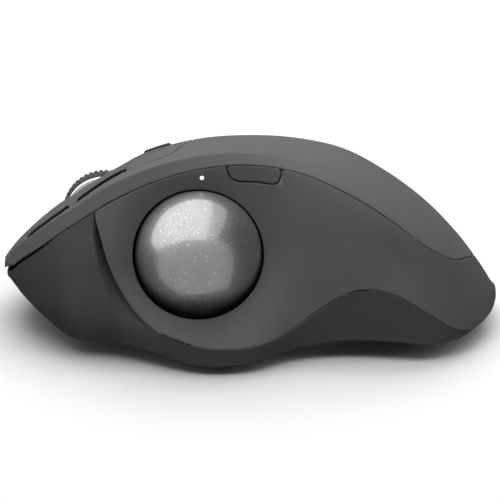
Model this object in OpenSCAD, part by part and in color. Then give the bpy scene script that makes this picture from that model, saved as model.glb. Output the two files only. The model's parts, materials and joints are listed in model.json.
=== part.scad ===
// Thumb-operated trackball mouse on a tilting steel base plate.
// Frame: +Z up, the nose points to -X, the thumb side is -Y.
// The origin is under the middle of the body, on the surface that it stands on.

/* [Body] */
// Length of the body from nose to tail
body_length = 132; // [130:1:138]
// Wall thickness of the moulded shells
wall = 1.8; // [1.5:0.1:2]
// Gap between two shells that are fixed to each other
seam = 0.2; // [0.1:0.05:0.3]
// Gap around a shell that moves
key_gap = 0.35; // [0.3:0.05:0.5]

/* [Ball] */
// Diameter of the trackball
ball_d = 34; // [33.6:0.1:34.2]
// Upward lean of the ball's opening, in degrees
ball_lean = 22; // [20:1:25]

/* [Scroll wheel] */
// Diameter of the wheel over its ribbed tyre
wheel_d = 22.8; // [22:0.2:23]
// Width of the tyre
wheel_w = 6.2; // [5.6:0.2:6.4]
// Number of ribs around the tyre
wheel_ribs = 48; // [36:2:60]

/* [Base plate] */
// Length of the steel plate
plate_length = 92; // [84:1:94]
// Width of the steel plate
plate_width = 72; // [66:1:74]
// Thickness of the steel plate
plate_t = 2.2; // [2:0.1:2.4]
// Thickness of the rubber sole under it
sole_t = 1; // [0.8:0.1:1]

/* [Hidden] */
$fn = 48;
half = body_length / 2;
ball_r = ball_d / 2;
// Angle of the right facet of the underside, which the body leans onto, in degrees
tilt_max = 20;

// Colours
dark_shell = [0.21, 0.21, 0.22];
mid_shell = [0.34, 0.34, 0.36];
light_shell = [0.44, 0.44, 0.46];
steel = [0.72, 0.73, 0.75];
board_green = [0.05, 0.3, 0.18];

// Body skin: one row of [y, z] points for each of 17 stations along the body, from nose to tail.
// Stations lie at x = -half * cos(180 * k / 16), so they crowd together where the ends round off.
// Columns: skirt edge, wing edge, thumb face, bevel seam, ridge, three on the crown,
// right seam, right bulge, right lower edge, fold line of the underside, left edge of the underside.
BEVEL = 3;
RIDGE = 4;
RIGHT_SEAM = 8;
BULGE = 9;
RAILS = [
    [[-7, 13.5], [-8, 14], [-8.5, 14.5], [-9, 15.5], [-8.5, 16.5], [-4, 16.5], [1, 15],
        [4, 14], [5, 13.5], [5, 13], [4, 12.5], [-1, 12.4], [-5.5, 12.6]],
    [[-7, 12.3], [-9.5, 13], [-11.5, 14.5], [-12, 16.5], [-11, 19.5], [-3, 18.3], [5, 15.3],
        [9, 13.8], [10.5, 12.9], [10.5, 12], [8, 11.3], [1, 10.9], [-5.5, 11.3]],
    [[-14, 9.5], [-16.5, 12], [-18, 16], [-17, 21], [-15.5, 24.7], [-5, 23.4], [6, 19.1],
        [13, 16.8], [16.5, 15.3], [18, 13.3], [15.5, 11], [4, 8.6], [-10.5, 8.7]],
    [[-23, 6.6], [-26, 11], [-25.5, 19], [-22, 26.8], [-20, 31], [-7, 29.8], [7, 24.3],
        [18, 20.3], [24, 17.3], [27, 14], [24.5, 10.2], [9, 5], [-19, 5.2]],
    [[-33.5, 4.3], [-36, 10], [-32, 22], [-25, 33.5], [-22.5, 37.4], [-8, 36.7], [8, 30.4],
        [21, 25.2], [30, 20.5], [35, 15.5], [32, 11], [12.5, 3.5], [-29, 3.5]],
    [[-36, 4.4], [-38.5, 10], [-33, 24.5], [-24, 39.6], [-21.5, 43.7], [-7, 43], [9, 36.9],
        [25, 29.8], [35, 24], [41, 18], [38.5, 13.2], [12.5, 3.5], [-32, 3.5]],
    [[-43, 3.8], [-44, 10.5], [-29, 25], [-21, 44], [-18.5, 47.5], [-5, 47.3], [10, 41.8],
        [27, 33.8], [38, 27], [45.5, 20], [43, 15], [12.5, 3.5], [-39, 3.5]],
    [[-49, 2.5], [-49.5, 8.4], [-27, 25.5], [-18, 46.6], [-15, 49.3], [-3, 49.7], [11, 44.4],
        [28.5, 35.8], [40, 28.5], [48.5, 21], [46, 16], [12.5, 3.5], [-45.5, 3.5]],
    [[-48, 2.8], [-48.5, 7.7], [-28, 25.5], [-17, 47.3], [-14, 49.5], [-2, 50.2], [12, 44.9],
        [29.5, 36.3], [41.5, 28.5], [49.5, 21.5], [47, 16.4], [12.5, 3.5], [-44.5, 3.5]],
    [[-39.5, 4], [-40, 10.3], [-30.5, 27], [-19, 45.9], [-15, 47.7], [-2, 49.3], [12, 44],
        [29.5, 35.3], [41.5, 28], [49, 21], [46.5, 16.2], [12.5, 3.5], [-36, 3.5]],
    [[-37, 5], [-36.5, 18], [-31, 29.5], [-23, 41.5], [-16, 45], [-3, 46.6], [12, 40.8],
        [28.5, 32.3], [40, 25.5], [47, 19.5], [44.5, 15.5], [12.5, 3.5], [-33, 3.5]],
    [[-38, 5.2], [-36.5, 18.6], [-32, 26.5], [-27, 35.5], [-18, 40], [-4, 40.7], [10, 35],
        [26, 27.7], [36.5, 22], [43, 17], [40.5, 13.9], [12.5, 3.5], [-34, 3.5]],
    [[-39, 4.6], [-38, 13.8], [-34, 20.5], [-29.5, 28], [-19, 33], [-6, 33.5], [8, 28.1],
        [22.5, 22.3], [31.5, 18], [37, 14], [34.5, 11.7], [12.5, 3.5], [-35, 3.5]],
    [[-34.5, 4.6], [-34.5, 7.4], [-32, 13.5], [-26.5, 20.5], [-18, 24.5], [-8, 25.3], [4, 21.3],
        [17, 16.8], [24.5, 13.8], [28.5, 11.2], [26, 9.2], [12.5, 3.6], [-30, 3.6]],
    [[-25.5, 5.3], [-26, 6.6], [-24.5, 10], [-20, 14.3], [-14.5, 16.7], [-7, 16.9], [1, 14.1],
        [11, 10.4], [16, 8.8], [18, 7.8], [15.5, 6.6], [8, 4.8], [-20, 4.4]],
    [[-16, 5.9], [-17, 6.8], [-16, 9], [-13.5, 10.6], [-10.5, 11.2], [-6.5, 10.8], [-1.5, 8.9],
        [3, 7.6], [5.5, 6.9], [6, 6.4], [4, 5.7], [-4, 5.3], [-12, 5.4]],
    [[-9, 7.2], [-10, 7.6], [-10, 8.2], [-9, 8.8], [-8, 9], [-6, 8.8], [-3, 8.2],
        [-1, 7.7], [0, 7.4], [0.3, 7.2], [0, 7], [-4, 6.9], [-7.5, 7]]
];
LAST = len(RAILS) - 1;
SKIN_RAILS = 11;
// Facets of the skin: steps along the body, then steps between neighbouring columns
STEPS_X = 46;
STEPS_V = [2, 7, 6, 2, 4, 5, 5, 4, 3, 3];

function ramp(from, to, v) =
    let (t = max(0, min(1, (v - from) / (to - from))))
    t * t * (3 - 2 * t);
function blend(p0, p1, m0, m1, t) =
    (2 * t * t * t - 3 * t * t + 1) * p0 + (t * t * t - 2 * t * t + t) * m0
    + (3 * t * t - 2 * t * t * t) * p1 + (t * t * t - t * t) * m1;
function row(k) = RAILS[k < 0 ? 1 : (k > LAST ? LAST - 1 : k)];
// All columns at a place along the body, u = 0 at the nose and 1 at the tail
function rails_at(u) =
    let (s = u * LAST, k = min(floor(s), LAST - 1), t = s - k)
    [for (j = [0:len(RAILS[0]) - 1])
        blend(row(k)[j], row(k + 1)[j], (row(k + 1)[j] - row(k - 1)[j]) / 2,
            (row(k + 2)[j] - row(k)[j]) / 2, t)];
function place(x) = acos(max(-1, min(1, -x / half))) / 180;
function rail_y(x, j) = rails_at(place(x))[j][0];
function rail_z(x, j) = rails_at(place(x))[j][1];
// How sharp the wing edge, the bevel seam and the ridge are at x
function sharp(j, x) =
    j == 1 ? ramp(-36, -22, x) : (j == BEVEL || j == RIDGE ? 1 - ramp(0, 34, x) : 0);
// Direction in which the section leaves column j (side = 1) or reaches it (side = 0)
function smooth_dir(p, j) =
    let (last = SKIN_RAILS - 1,
        a = j == 0 ? 1 : norm(p[j] - p[j - 1]),
        b = j == last ? 1 : norm(p[j + 1] - p[j]))
    j == 0 ? (p[1] - p[0]) / b
    : (j == last ? (p[j] - p[j - 1]) / a
    : ((p[j] - p[j - 1]) / a * b + (p[j + 1] - p[j]) / b * a) / (a + b));
function span_dir(p, j, x, side) =
    let (c = sharp(j, x), t = smooth_dir(p, j))
    c == 0 ? t
    : (side == 1
        ? let (b = (p[j + 1] - p[j]) / norm(p[j + 1] - p[j]))
            t * (1 - c) + c * (j == BEVEL ? b : 1.5 * b - 0.5 * smooth_dir(p, j + 1))
        : let (a = (p[j] - p[j - 1]) / norm(p[j] - p[j - 1]))
            t * (1 - c) + c * (j == RIDGE ? a : 1.5 * a - 0.5 * smooth_dir(p, j - 1)));
// Closed outline of the body across x, clockwise as seen from the nose end's far side
function section(u) =
    let (p = rails_at(u), x = -half * cos(180 * u))
    concat(
        [for (j = [0:SKIN_RAILS - 2]) let (d = norm(p[j + 1] - p[j]))
            for (i = [0:STEPS_V[j] - 1])
                blend(p[j], p[j + 1], span_dir(p, j, x, 1) * d, span_dir(p, j + 1, x, 0) * d,
                    i / STEPS_V[j])],
        [p[SKIN_RAILS - 1], p[SKIN_RAILS], p[SKIN_RAILS + 1]]);
// The same outline moved inwards by t
function inset(p, t) =
    let (n = len(p))
    [for (i = [0:n - 1])
        let (a = p[(i + n - 1) % n], b = p[i], c = p[(i + 1) % n],
            d1 = (b - a) / norm(b - a), d2 = (c - b) / norm(c - b),
            n1 = [d1[1], -d1[0]], n2 = [d2[1], -d2[0]])
        b + (n1 + n2) * t / max(0.6, 1 + n1 * n2)];
// Solid through a list of outlines, each at its own x
module loft(xs, outlines) {
    n = len(outlines[0]);
    m = len(outlines);
    points = [for (k = [0:m - 1]) for (p = outlines[k]) [xs[k], p[0], p[1]]];
    sides = [for (k = [0:m - 2]) for (i = [0:n - 1]) let (j = (i + 1) % n)
        each [[k * n + i, k * n + j, (k + 1) * n + j], [k * n + i, (k + 1) * n + j, (k + 1) * n + i]]];
    ends = [[for (i = [n - 1:-1:0]) i], [for (i = [0:n - 1]) (m - 1) * n + i]];
    polyhedron(points, concat(sides, ends), convexity = 8);
}
US = [for (k = [0:STEPS_X]) k / STEPS_X];
module outer_body() {
    loft([for (u = US) -half * cos(180 * u)], [for (u = US) section(u)]);
}
// The hollow leaves solid ends at the nose and the tail
HOLLOW_FROM = 0.1;
HOLLOW_TO = 0.905;
// Seen from above, the hollow stays inside this outline, so that the low tail is solid
TAIL_LIMIT = [[-90, -80], [46, -80], [46, -40], [55, -24], [58.2, -10], [58.4, 4], [54, 15],
    [47, 25], [42, 33], [42, 80], [-90, 80]];
module inner_body() {
    us = [for (k = [0:STEPS_X - 2]) HOLLOW_FROM + (HOLLOW_TO - HOLLOW_FROM) * k / (STEPS_X - 2)];
    intersection() {
        loft([for (u = us) -(half - wall) * cos(180 * u)], [for (u = us) inset(section(u), wall)]);
        translate([0, 0, -10]) linear_extrude(90) polygon(TAIL_LIMIT);
    }
}

// Plan outlines (seen from above). g grows an outline, and a negative g shrinks it.
REAR_X = 44;
REAR_LENGTH = 16.3;
REAR_LEFT = 29.3;
REAR_RIGHT = 33;
function rear_point(a) =
    [REAR_X + REAR_LENGTH * pow(cos(a), 0.9), (a < 0 ? -REAR_LEFT : REAR_RIGHT) * pow(abs(sin(a)), 0.9)];
module top_plan(g = 0) {
    n = ceil(place(REAR_X + 12) * STEPS_X);
    us = [for (k = [0:n]) US[k]];
    offset(delta = g) intersection() {
        polygon(concat([[-80, -9]],
            [for (u = us) [-half * cos(180 * u), rails_at(u)[BEVEL][0]]], [[80, -20], [80, 20]],
            [for (k = [n:-1:0]) [-half * cos(180 * us[k]), rails_at(us[k])[RIGHT_SEAM][0]]], [[-80, 5]]));
        union() {
            translate([-90, -60]) square([90 + REAR_X + 0.1, 120]);
            polygon([for (a = [-90:6:90]) rear_point(a)]);
        }
    }
}
// Where the left key meets the bevel strip
KEY_REAR_X = -24;
function left_seam(x) =
    rail_y(x, RIDGE) + 0.6 + 4 * max(0, min(1, (x + 60) / 26));
LIP_X = -64.4;
STRIP_LOW = -1.5;
STRIP_HIGH = 11.5;
STRIP_REAR_X = -15.5;
module left_key_plan(g = 0) {
    xs = [for (x = [LIP_X:(KEY_REAR_X - LIP_X) / 24:KEY_REAR_X + 0.01]) x];
    offset(delta = g) polygon(concat([[-80, -30], [LIP_X, -30]], [for (x = xs) [x, left_seam(x)]],
        [[-20.8, -11.3], [-18, -6], [STRIP_REAR_X, STRIP_LOW], [-80, STRIP_LOW]]));
}
module right_key_plan(g = 0) {
    offset(delta = g) polygon([[-80, STRIP_HIGH], [STRIP_REAR_X, STRIP_HIGH], [-18, 16.5], [-22.5, 25.5],
        [-27, 45], [-80, 45]]);
}
module strip_plan(g = 0) {
    offset(delta = g) translate([-80, STRIP_LOW])
        square([80 + STRIP_REAR_X, STRIP_HIGH - STRIP_LOW]);
}
// Outline of a side key, which lies along the seam of the left key
module side_key_plan(from, to, g = 0) {
    n = 10;
    xs = [for (k = [0:n]) from + (to - from) * k / n];
    offset(delta = g) polygon(concat([for (x = xs) [x, left_seam(x) + 0.45]],
        [for (k = [n:-1:0]) [xs[k], left_seam(xs[k]) + 2.6]]));
}
BACK_KEY = [-59.5, -49];
FORWARD_KEY = [-45.8, -33.6];

// Side outlines (seen along Y, as [x, z])
THUMB_EDGE = [
    [-41.5, 60], [-41.4, 35], [-40.6, 33], [-37.9, 24.7], [-33.9, 17.8], [-29.4, 12.7], [-22.8, 9.3],
    [-15.5, 8.1], [-6.6, 7.5], [2.3, 7.3], [8, 8.2], [12.3, 9.8], [17.4, 13.7], [22.5, 17], [26.9, 18.6],
    [31.6, 19.1], [37.2, 18.4], [42.4, 16], [48.4, 12.6], [53.2, 8.2], [56.2, 6.3], [58.6, 5.7],
    [60.2, 4.5], [61, 2], [61, -5], [80, -5], [80, 60]
];
FINGER_FRONT_X = -51.3;
module thumb_side(g = 0) {
    offset(delta = g) polygon(THUMB_EDGE);
}
module finger_side(g = 0) {
    xs = [for (k = [0:27]) FINGER_FRONT_X + 4 * k];
    offset(delta = g) polygon(concat([[FINGER_FRONT_X, 60]],
        [for (x = xs) [x, rail_z(x, BULGE) - 1.5]],
        [[58.4, 6.6], [60, 4.6], [60.6, 2], [60.6, -5], [80, -5], [80, 60]]));
}
TAIL_SPLIT_Y = -2;
// Everything on the thumb side of the palm cover, down to its lower edge
module thumb_space(g = 0) {
    intersection() {
        translate([0, 0, -1]) linear_extrude(80) difference() {
            translate([-90, -70]) square([180, 70 + TAIL_SPLIT_Y + g]);
            translate([-90, -10]) square([90 + REAR_X, 20]);
            top_plan(-g);
        }
        translate([0, 60, 0]) rotate([90, 0, 0]) linear_extrude(120) thumb_side(g);
    }
}
module finger_space(g = 0) {
    intersection() {
        translate([0, 0, -1]) linear_extrude(80) difference() {
            translate([-90, TAIL_SPLIT_Y - g]) square([180, 70]);
            top_plan(-1.5 * g);
        }
        translate([0, 60, 0]) rotate([90, 0, 0]) linear_extrude(120) finger_side(g);
    }
}
// Space where the top pieces lie: above the lip plane, which falls to the right, and clear of the underside
LIP_Z = 13.9;
LIP_SLOPE = 0.12;
module above_lip(g = 0) {
    intersection() {
        translate([0, 0, LIP_Z - g]) rotate([-atan(LIP_SLOPE), 0, 0]) translate([-90, -70, 0])
            cube([180, 140, 60]);
        on_right_facet() translate([-90, -70, wall + 1.6]) cube([180, 180, 90]);
    }
}
module column(z0 = 0) {
    translate([0, 0, z0]) linear_extrude(80) children();
}
// A freeform shell is made as one mesh
module as_mesh() {
    resize([0, 0, 0]) children();
}
module skin() {
    difference() {
        outer_body();
        inner_body();
    }
}

// Ball and its frame: local +Z points out of the opening
BALL = [-13.8, -25.5, 25];
RUNNING_GAP = 0.6;
cup_in = ball_r + RUNNING_GAP;
cup_out = cup_in + 1.5;
mouth_r = ball_r + 0.35;
module at_ball() {
    translate(BALL) rotate([90 - ball_lean, 0, 0]) children();
}
BEARING_R = 1.25;
BEARING_ANGLE = 52;
BEARING_GAP = 0.03;
module at_bearings() {
    at_ball() for (a = [90, 210, 330]) rotate([0, 0, a]) rotate([0, 180 - BEARING_ANGLE, 0])
        translate([0, 0, ball_r + BEARING_GAP + BEARING_R]) children();
}
EJECT_R = 2.75;
EJECT_Y = -20;
module trackball() {
    color([0.5, 0.5, 0.52]) at_ball() sphere(ball_r);
}
CUP_RIM = -0.9;
module ball_cup() {
    color(dark_shell) difference() {
        union() {
            at_ball() rotate_extrude() intersection() {
                difference() {
                    circle(cup_out);
                    circle(cup_in);
                }
                translate([0, -30]) square([30, 30 + CUP_RIM]);
            }
            at_bearings() translate([0, 0, -0.4]) cylinder(r = 2.3, h = 2.2);
        }
        at_ball() sphere(cup_in);
        at_bearings() sphere(BEARING_R + 0.04);
        at_ball() translate([0, 0, -30]) cylinder(r = 2.6, h = 20);
        translate([BALL[0], EJECT_Y, 0]) cylinder(r = EJECT_R, h = 15);
    }
}
module bearing_balls() {
    color([0.9, 0.88, 0.84]) at_bearings() sphere(BEARING_R);
}
module sensor_lens() {
    color([0.75, 0.8, 0.85]) at_ball() {
        translate([0, 0, -cup_out - 1.35]) linear_extrude(1.3) rounded_rect([9, 7], 1.5);
        translate([0, 0, -cup_out - 0.1]) cylinder(r = 1.8, h = 1);
    }
}
module ball_sensor() {
    color([0.08, 0.08, 0.09]) at_ball() translate([0, 0, -cup_out - 4]) linear_extrude(2.6)
        rounded_rect([10, 8], 0.6);
}
module sensor_board() {
    color(board_green) at_ball() translate([0, 0, -cup_out - 5.1]) linear_extrude(1)
        rounded_rect([14, 13], 1);
}

// Small shared shapes
module rounded_rect(size, r) {
    translate([-size[0] / 2 + r, -size[1] / 2]) square([size[0] - 2 * r, size[1]]);
    translate([-size[0] / 2, -size[1] / 2 + r]) square([size[0], size[1] - 2 * r]);
    for (x = [-1, 1], y = [-1, 1]) translate([x * (size[0] / 2 - r), y * (size[1] / 2 - r)]) circle(r);
}
module box(from, to) {
    translate(from) cube(to - from);
}
module rod_x(x0, x1, y, z, r) {
    translate([x0, y, z]) rotate([0, 90, 0]) cylinder(r = r, h = x1 - x0);
}
module rod_y(y0, y1, x, z, r) {
    translate([x, y1, z]) rotate([90, 0, 0]) cylinder(r = r, h = y1 - y0);
}

// Tilting base: an oval steel plate with two lugs on its upper face
PLATE_X = -5;
PLATE_Y = 7;
plate_top = sole_t + plate_t;
PIN_Y = 12;
PIN_Z = 6.5;
PIN_R = 1.2;
RUN = 0.05;
LUG_X = [-30, 28];
LUG_W = 5;
LUG_R = 2.6;
FACET_Z = 3.5;
FOLD_Y = 12.53;
module oval(grow = 0) {
    polygon([for (a = [0:5:355]) [(plate_length / 2 + grow) * cos(a), (plate_width / 2 + grow) * sin(a)]]);
}
module base_plate() {
    color(steel) difference() {
        union() {
            translate([PLATE_X, PLATE_Y, sole_t]) linear_extrude(plate_t) oval();
            for (x = LUG_X) {
                rod_x(x - LUG_W / 2, x + LUG_W / 2, PIN_Y, PIN_Z, LUG_R);
                box([x - LUG_W / 2, PIN_Y - 2, plate_top - 0.5], [x + LUG_W / 2, PIN_Y + 2, PIN_Z]);
            }
        }
        for (x = LUG_X) rod_x(x - 5, x + 5, PIN_Y, PIN_Z, PIN_R);
        translate([BALL[0], EJECT_Y, 0]) cylinder(r = EJECT_R + 0.8, h = 5);
    }
}
module rubber_sole() {
    color([0.07, 0.07, 0.07]) difference() {
        translate([PLATE_X, PLATE_Y, 0]) linear_extrude(sole_t) oval(-1.5);
        translate([BALL[0], EJECT_Y, -1]) cylinder(r = EJECT_R + 0.8, h = 5);
    }
}
EAR_W = 4;
EAR_GAP = 0.3;
PIN_HALF = LUG_W / 2 + EAR_GAP + EAR_W;
module hinge_pins() {
    color([0.8, 0.8, 0.82]) for (x = LUG_X) rod_x(x - PIN_HALF, x + PIN_HALF, PIN_Y, PIN_Z, PIN_R);
}
// Each bracket has two ears around a lug and a bridge over it
BRACKET_TOP = 10.4;
module hinge_brackets() {
    color(steel) for (x = LUG_X) difference() {
        translate([x - PIN_HALF, 0, 0]) rotate([90, 0, 90]) linear_extrude(2 * PIN_HALF) polygon([
            [PIN_Y - 3.2, 3.9], [PIN_Y + 0.3, 3.9], [PIN_Y + 3.3, 5], [PIN_Y + 3.3, BRACKET_TOP],
            [PIN_Y - 3.2, BRACKET_TOP]]);
        box([x - LUG_W / 2 - EAR_GAP, PIN_Y - 5, 0],
            [x + LUG_W / 2 + EAR_GAP, PIN_Y + 5, PIN_Z + LUG_R + 0.4]);
        rod_x(x - 10, x + 10, PIN_Y, PIN_Z, PIN_R + RUN);
    }
}

// Underside: two flat facets that meet on a fold line, so that the body can stand on either
module on_right_facet() {
    translate([0, FOLD_Y, FACET_Z]) rotate([tilt_max, 0, 0]) translate([0, -FOLD_Y, 0]) children();
}
CASE_FROM = -45;
CASE_TO = 51;
module case_plan(g = 0) {
    xs = [for (k = [0:24]) CASE_FROM + (CASE_TO - CASE_FROM) * k / 24];
    polygon(concat(
        [for (k = [0:24]) [xs[k] + (k == 0 ? -g : (k == 24 ? g : 0)), rail_y(xs[k], 12) + 0.8 - g]],
        [for (k = [24:-1:0]) [xs[k] + (k == 0 ? -g : (k == 24 ? g : 0)), rail_y(xs[k], 10) - 3 + g]]));
}
LEFT_SCREWS = [[-40, -23], [46, -28], [15, -30]];
RIGHT_SCREWS = [[-36, 26.5], [40, 27]];
// A plate that follows both facets of the underside, from height z0 to z1 above them
module bent_plate(z0, z1) {
    run = 60 - FOLD_Y;
    lean = tan(tilt_max / 2);
    fold = [for (z = [z0, z1]) [FOLD_Y - z * lean, FACET_Z + z]];
    side = [for (z = [z0, z1]) [FOLD_Y + run * cos(tilt_max) - z * sin(tilt_max),
        FACET_Z + run * sin(tilt_max) + z * cos(tilt_max)]];
    translate([-90, 0, 0]) rotate([90, 0, 90]) linear_extrude(180) polygon([
        [-60, FACET_Z + z0], fold[0], side[0], side[1], fold[1], [-60, FACET_Z + z1]]);
}
module screw_hole() {
    translate([0, 0, -1]) cylinder(r = 1.25, h = 10);
    translate([0, 0, -1]) cylinder(r = 2.4, h = 1.8);
}
MAGNETS_LEFT = [[12, 1], [12, -17]];
MAGNETS_RIGHT = [[-8, 27], [12, 30]];
SLIDER = [29.5, -27];
SLIDER_TRAVEL = 3;
BOARD = [[-38, -12.5], [4, 7.5]];
BOARD_Z = 6.2;
BOARD_T = 1.2;
BOARD_SCREWS = [[-35.5, -10], [1.5, -10], [1.5, 5], [-20, 5]];
module bottom_case() {
    color(dark_shell) difference() {
        union() {
            intersection() {
                linear_extrude(40) case_plan();
                bent_plate(0, wall);
            }
            for (p = BOARD_SCREWS)
                translate([p[0], p[1], FACET_Z + 0.5]) cylinder(r = 2, h = BOARD_Z - FACET_Z - 0.5);
        }
        for (p = BOARD_SCREWS) translate([p[0], p[1], FACET_Z + 0.8]) cylinder(r = 0.8, h = 5);
        for (x = LUG_X) box([x - PIN_HALF - 0.2, PIN_Y - 3.6, 0], [x + PIN_HALF + 0.2, PIN_Y + 3.7, 12]);
        for (p = LEFT_SCREWS) translate([p[0], p[1], FACET_Z]) screw_hole();
        for (p = RIGHT_SCREWS) on_right_facet() translate([p[0], p[1], 0]) screw_hole();
        translate([BALL[0], EJECT_Y, 0]) cylinder(r = EJECT_R, h = 8);
        translate([SLIDER[0] + SLIDER_TRAVEL / 2, SLIDER[1], 0]) linear_extrude(9)
            rounded_rect([8.6, 3], 1.4);
    }
}
module screw(length, head_r, head_h, r) {
    cylinder(r = head_r, h = head_h);
    translate([0, 0, head_h]) cylinder(r = r, h = length);
}
module case_screws() {
    color([0.3, 0.3, 0.32]) {
        for (p = LEFT_SCREWS) translate([p[0], p[1], FACET_Z + 0.1]) screw(6, 2.2, 0.65, 1);
        for (p = RIGHT_SCREWS) on_right_facet() translate([p[0], p[1], 0.1]) screw(6, 2.2, 0.65, 1);
    }
}
module holding_magnets() {
    color([0.6, 0.6, 0.63]) {
        for (p = MAGNETS_LEFT) translate([p[0], p[1], FACET_Z + wall]) cylinder(r = 4, h = 1.4);
        for (p = MAGNETS_RIGHT) on_right_facet() translate([p[0], p[1], wall]) cylinder(r = 4, h = 1.4);
    }
}

// Charging socket at the nose, under the lip: its shell from corner to corner
PORT = [[-61.5, -4.8, 11], [-56.3, 2.8, 13.6]];
// Lower housing: skirt, nose underside and rim, with a boss and a rib for each case screw
KEY_DROP = 0.85;
module boss(side) {
    difference() {
        union() {
            cylinder(r = 2.7, h = 5.6);
            translate([-0.8, side > 0 ? 0 : -16, 0]) cube([1.6, 16, 5.6]);
        }
        translate([0, 0, -1]) cylinder(r = 1.2, h = 6);
    }
}
module lower_housing() {
    color(dark_shell) as_mesh() difference() {
        union() {
            skin();
            intersection() {
                outer_body();
                union() {
                    for (p = LEFT_SCREWS) translate([p[0], p[1], FACET_Z + wall + 0.05]) boss(-1);
                    for (p = RIGHT_SCREWS) on_right_facet() translate([p[0], p[1], wall + 0.05]) boss(1);
                }
            }
        }
        intersection() {
            column(-1) top_plan(seam / 2);
            above_lip(KEY_DROP);
        }
        thumb_space(seam / 2);
        finger_space(seam / 2);
        intersection() {
            translate([0, 0, -5]) linear_extrude(60) case_plan(0.15);
            bent_plate(-6, wall + 0.4);
        }
        box(PORT[0] - [8.5, 0.6, 0.4], PORT[1] + [0.5, 0.6, 0.4]);
    }
}
module thumb_panel() {
    color(mid_shell) as_mesh() difference() {
        intersection() {
            union() {
                skin();
                intersection() {
                    outer_body();
                    at_ball() translate([0, 0, -0.5]) cylinder(r = mouth_r + 1.6, h = 30);
                }
            }
            thumb_space(-seam / 2);
        }
        at_ball() translate([0, 0, -8]) cylinder(r = mouth_r, h = 48, $fn = 96);
        at_ball() translate([0, 0, -8]) cylinder(r = cup_out + 0.1, h = 8 + CUP_RIM + 0.1, $fn = 96);
        light_axis() cylinder(r = 0.56, h = 12, center = true);
        precision_space(0.3);
    }
}
module finger_panel() {
    color(light_shell) as_mesh() intersection() {
        skin();
        finger_space(-seam / 2);
    }
}
module palm_cover() {
    color(light_shell) as_mesh() difference() {
        intersection() {
            skin();
            column() top_plan(-seam / 2);
            above_lip(-seam / 2);
        }
        column() left_key_plan(key_gap);
        column() right_key_plan(key_gap);
        column() strip_plan(seam);
        box([-80, -40, 0], [LIP_X + 0.8, 0, 60]);
        for (k = [BACK_KEY, FORWARD_KEY]) column() side_key_plan(k[0], k[1], key_gap);
        light_axis() cylinder(r = 1.25, h = 12, center = true);
    }
}

// Centre strip between the two main keys, with a window for the wheel and one for the mode key
WHEEL = [-39.2, 5, 26.5];
WINDOW = [[-52.5, 0.2], [-33, 9.8]];
MODE_KEY = [[-28.5, 2], [-21.3, 8]];
MODE_BOARD_Z = 36;
module centre_strip() {
    color(dark_shell) as_mesh() difference() {
        union() {
            intersection() {
                skin();
                column() top_plan(-seam / 2);
                above_lip(-seam / 2);
                column() strip_plan(0);
            }
            intersection() {
                outer_body();
                for (x = [-30.3, -19.3]) translate([x, 5, MODE_BOARD_Z + 1.05]) cylinder(r = 1.1, h = 20);
            }
        }
        box([WINDOW[0][0], WINDOW[0][1], 10], [WINDOW[1][0], WINDOW[1][1], 60]);
        box([MODE_KEY[0][0] - 0.3, MODE_KEY[0][1] - 0.3, 30],
            [MODE_KEY[1][0] + 0.3, MODE_KEY[1][1] + 0.3, 60]);
    }
}
LEFT_POST = [-47, -9, 29.6];
RIGHT_POST = [-47, 19.5, 20.1];
module key_post(p) {
    intersection() {
        outer_body();
        translate(p) cylinder(r = 1.6, h = 30);
    }
}
module left_button() {
    color(mid_shell) as_mesh() difference() {
        union() {
            intersection() {
                skin();
                column() top_plan(-seam / 2);
                above_lip(-seam / 2);
                column() left_key_plan(-key_gap / 2);
            }
            key_post(LEFT_POST);
        }
        for (k = [BACK_KEY, FORWARD_KEY]) column() side_key_plan(k[0], k[1], key_gap);
        for (k = [BACK_KEY, FORWARD_KEY]) column() translate([0, -0.8]) side_key_plan(k[0], k[1], key_gap);
    }
}
RIGHT_KEY_ROOM = 3;
module right_button() {
    color(mid_shell) as_mesh() union() {
        intersection() {
            skin();
            column() top_plan(-key_gap);
            above_lip(-seam / 2);
            column() right_key_plan(-key_gap / 2);
            on_right_facet() translate([-90, -70, wall + RIGHT_KEY_ROOM]) cube([180, 180, 90]);
        }
        key_post(RIGHT_POST);
    }
}
module side_key(span) {
    intersection() {
        difference() {
            translate([0, 0, 0.7]) outer_body();
            inner_body();
        }
        above_lip(-seam / 2);
        column() side_key_plan(span[0] + 0.3, span[1] - 0.3);
    }
}
module forward_button() {
    color(light_shell) as_mesh() side_key(FORWARD_KEY);
}
module back_button() {
    color(light_shell) as_mesh() side_key(BACK_KEY);
}
module mode_button() {
    color(dark_shell) as_mesh() intersection() {
        difference() {
            translate([0, 0, 0.7]) outer_body();
            inner_body();
        }
        box([MODE_KEY[0][0], MODE_KEY[0][1], 20], [MODE_KEY[1][0], MODE_KEY[1][1], 60]);
    }
}
// Precision key: a rounded tab below the bevel seam, above and behind the ball
module precision_space(g = 0) {
    rotate([90, 0, 0]) linear_extrude(40) offset(r = 1.2 + g) offset(delta = -1.2)
        polygon([[-6.9, 50], [8.9, 50], [7.6, 44.6], [6.2, 43.3], [-3.6, 43.3], [-5.6, 44.8]]);
}
module precision_button() {
    color(mid_shell) as_mesh() intersection() {
        difference() {
            translate([0, -0.15, 0.1]) outer_body();
            translate([0, 0.2, 0]) inner_body();
        }
        thumb_space(-seam / 2 - 0.05);
        precision_space(0);
    }
}
LIGHT = [-12.85, -18.9, 44.35];
LIGHT_LEAN = 21;
module light_axis() {
    translate(LIGHT) rotate([90 - LIGHT_LEAN, 0, 0]) children();
}
module status_light_guide() {
    color([0.95, 0.97, 0.95]) light_axis() {
        translate([0, 0, -3.2]) cylinder(r = 0.5, h = 3.2);
        translate([0, 0, -3.2]) cylinder(r = 1.1, h = 0.8);
    }
}

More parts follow.
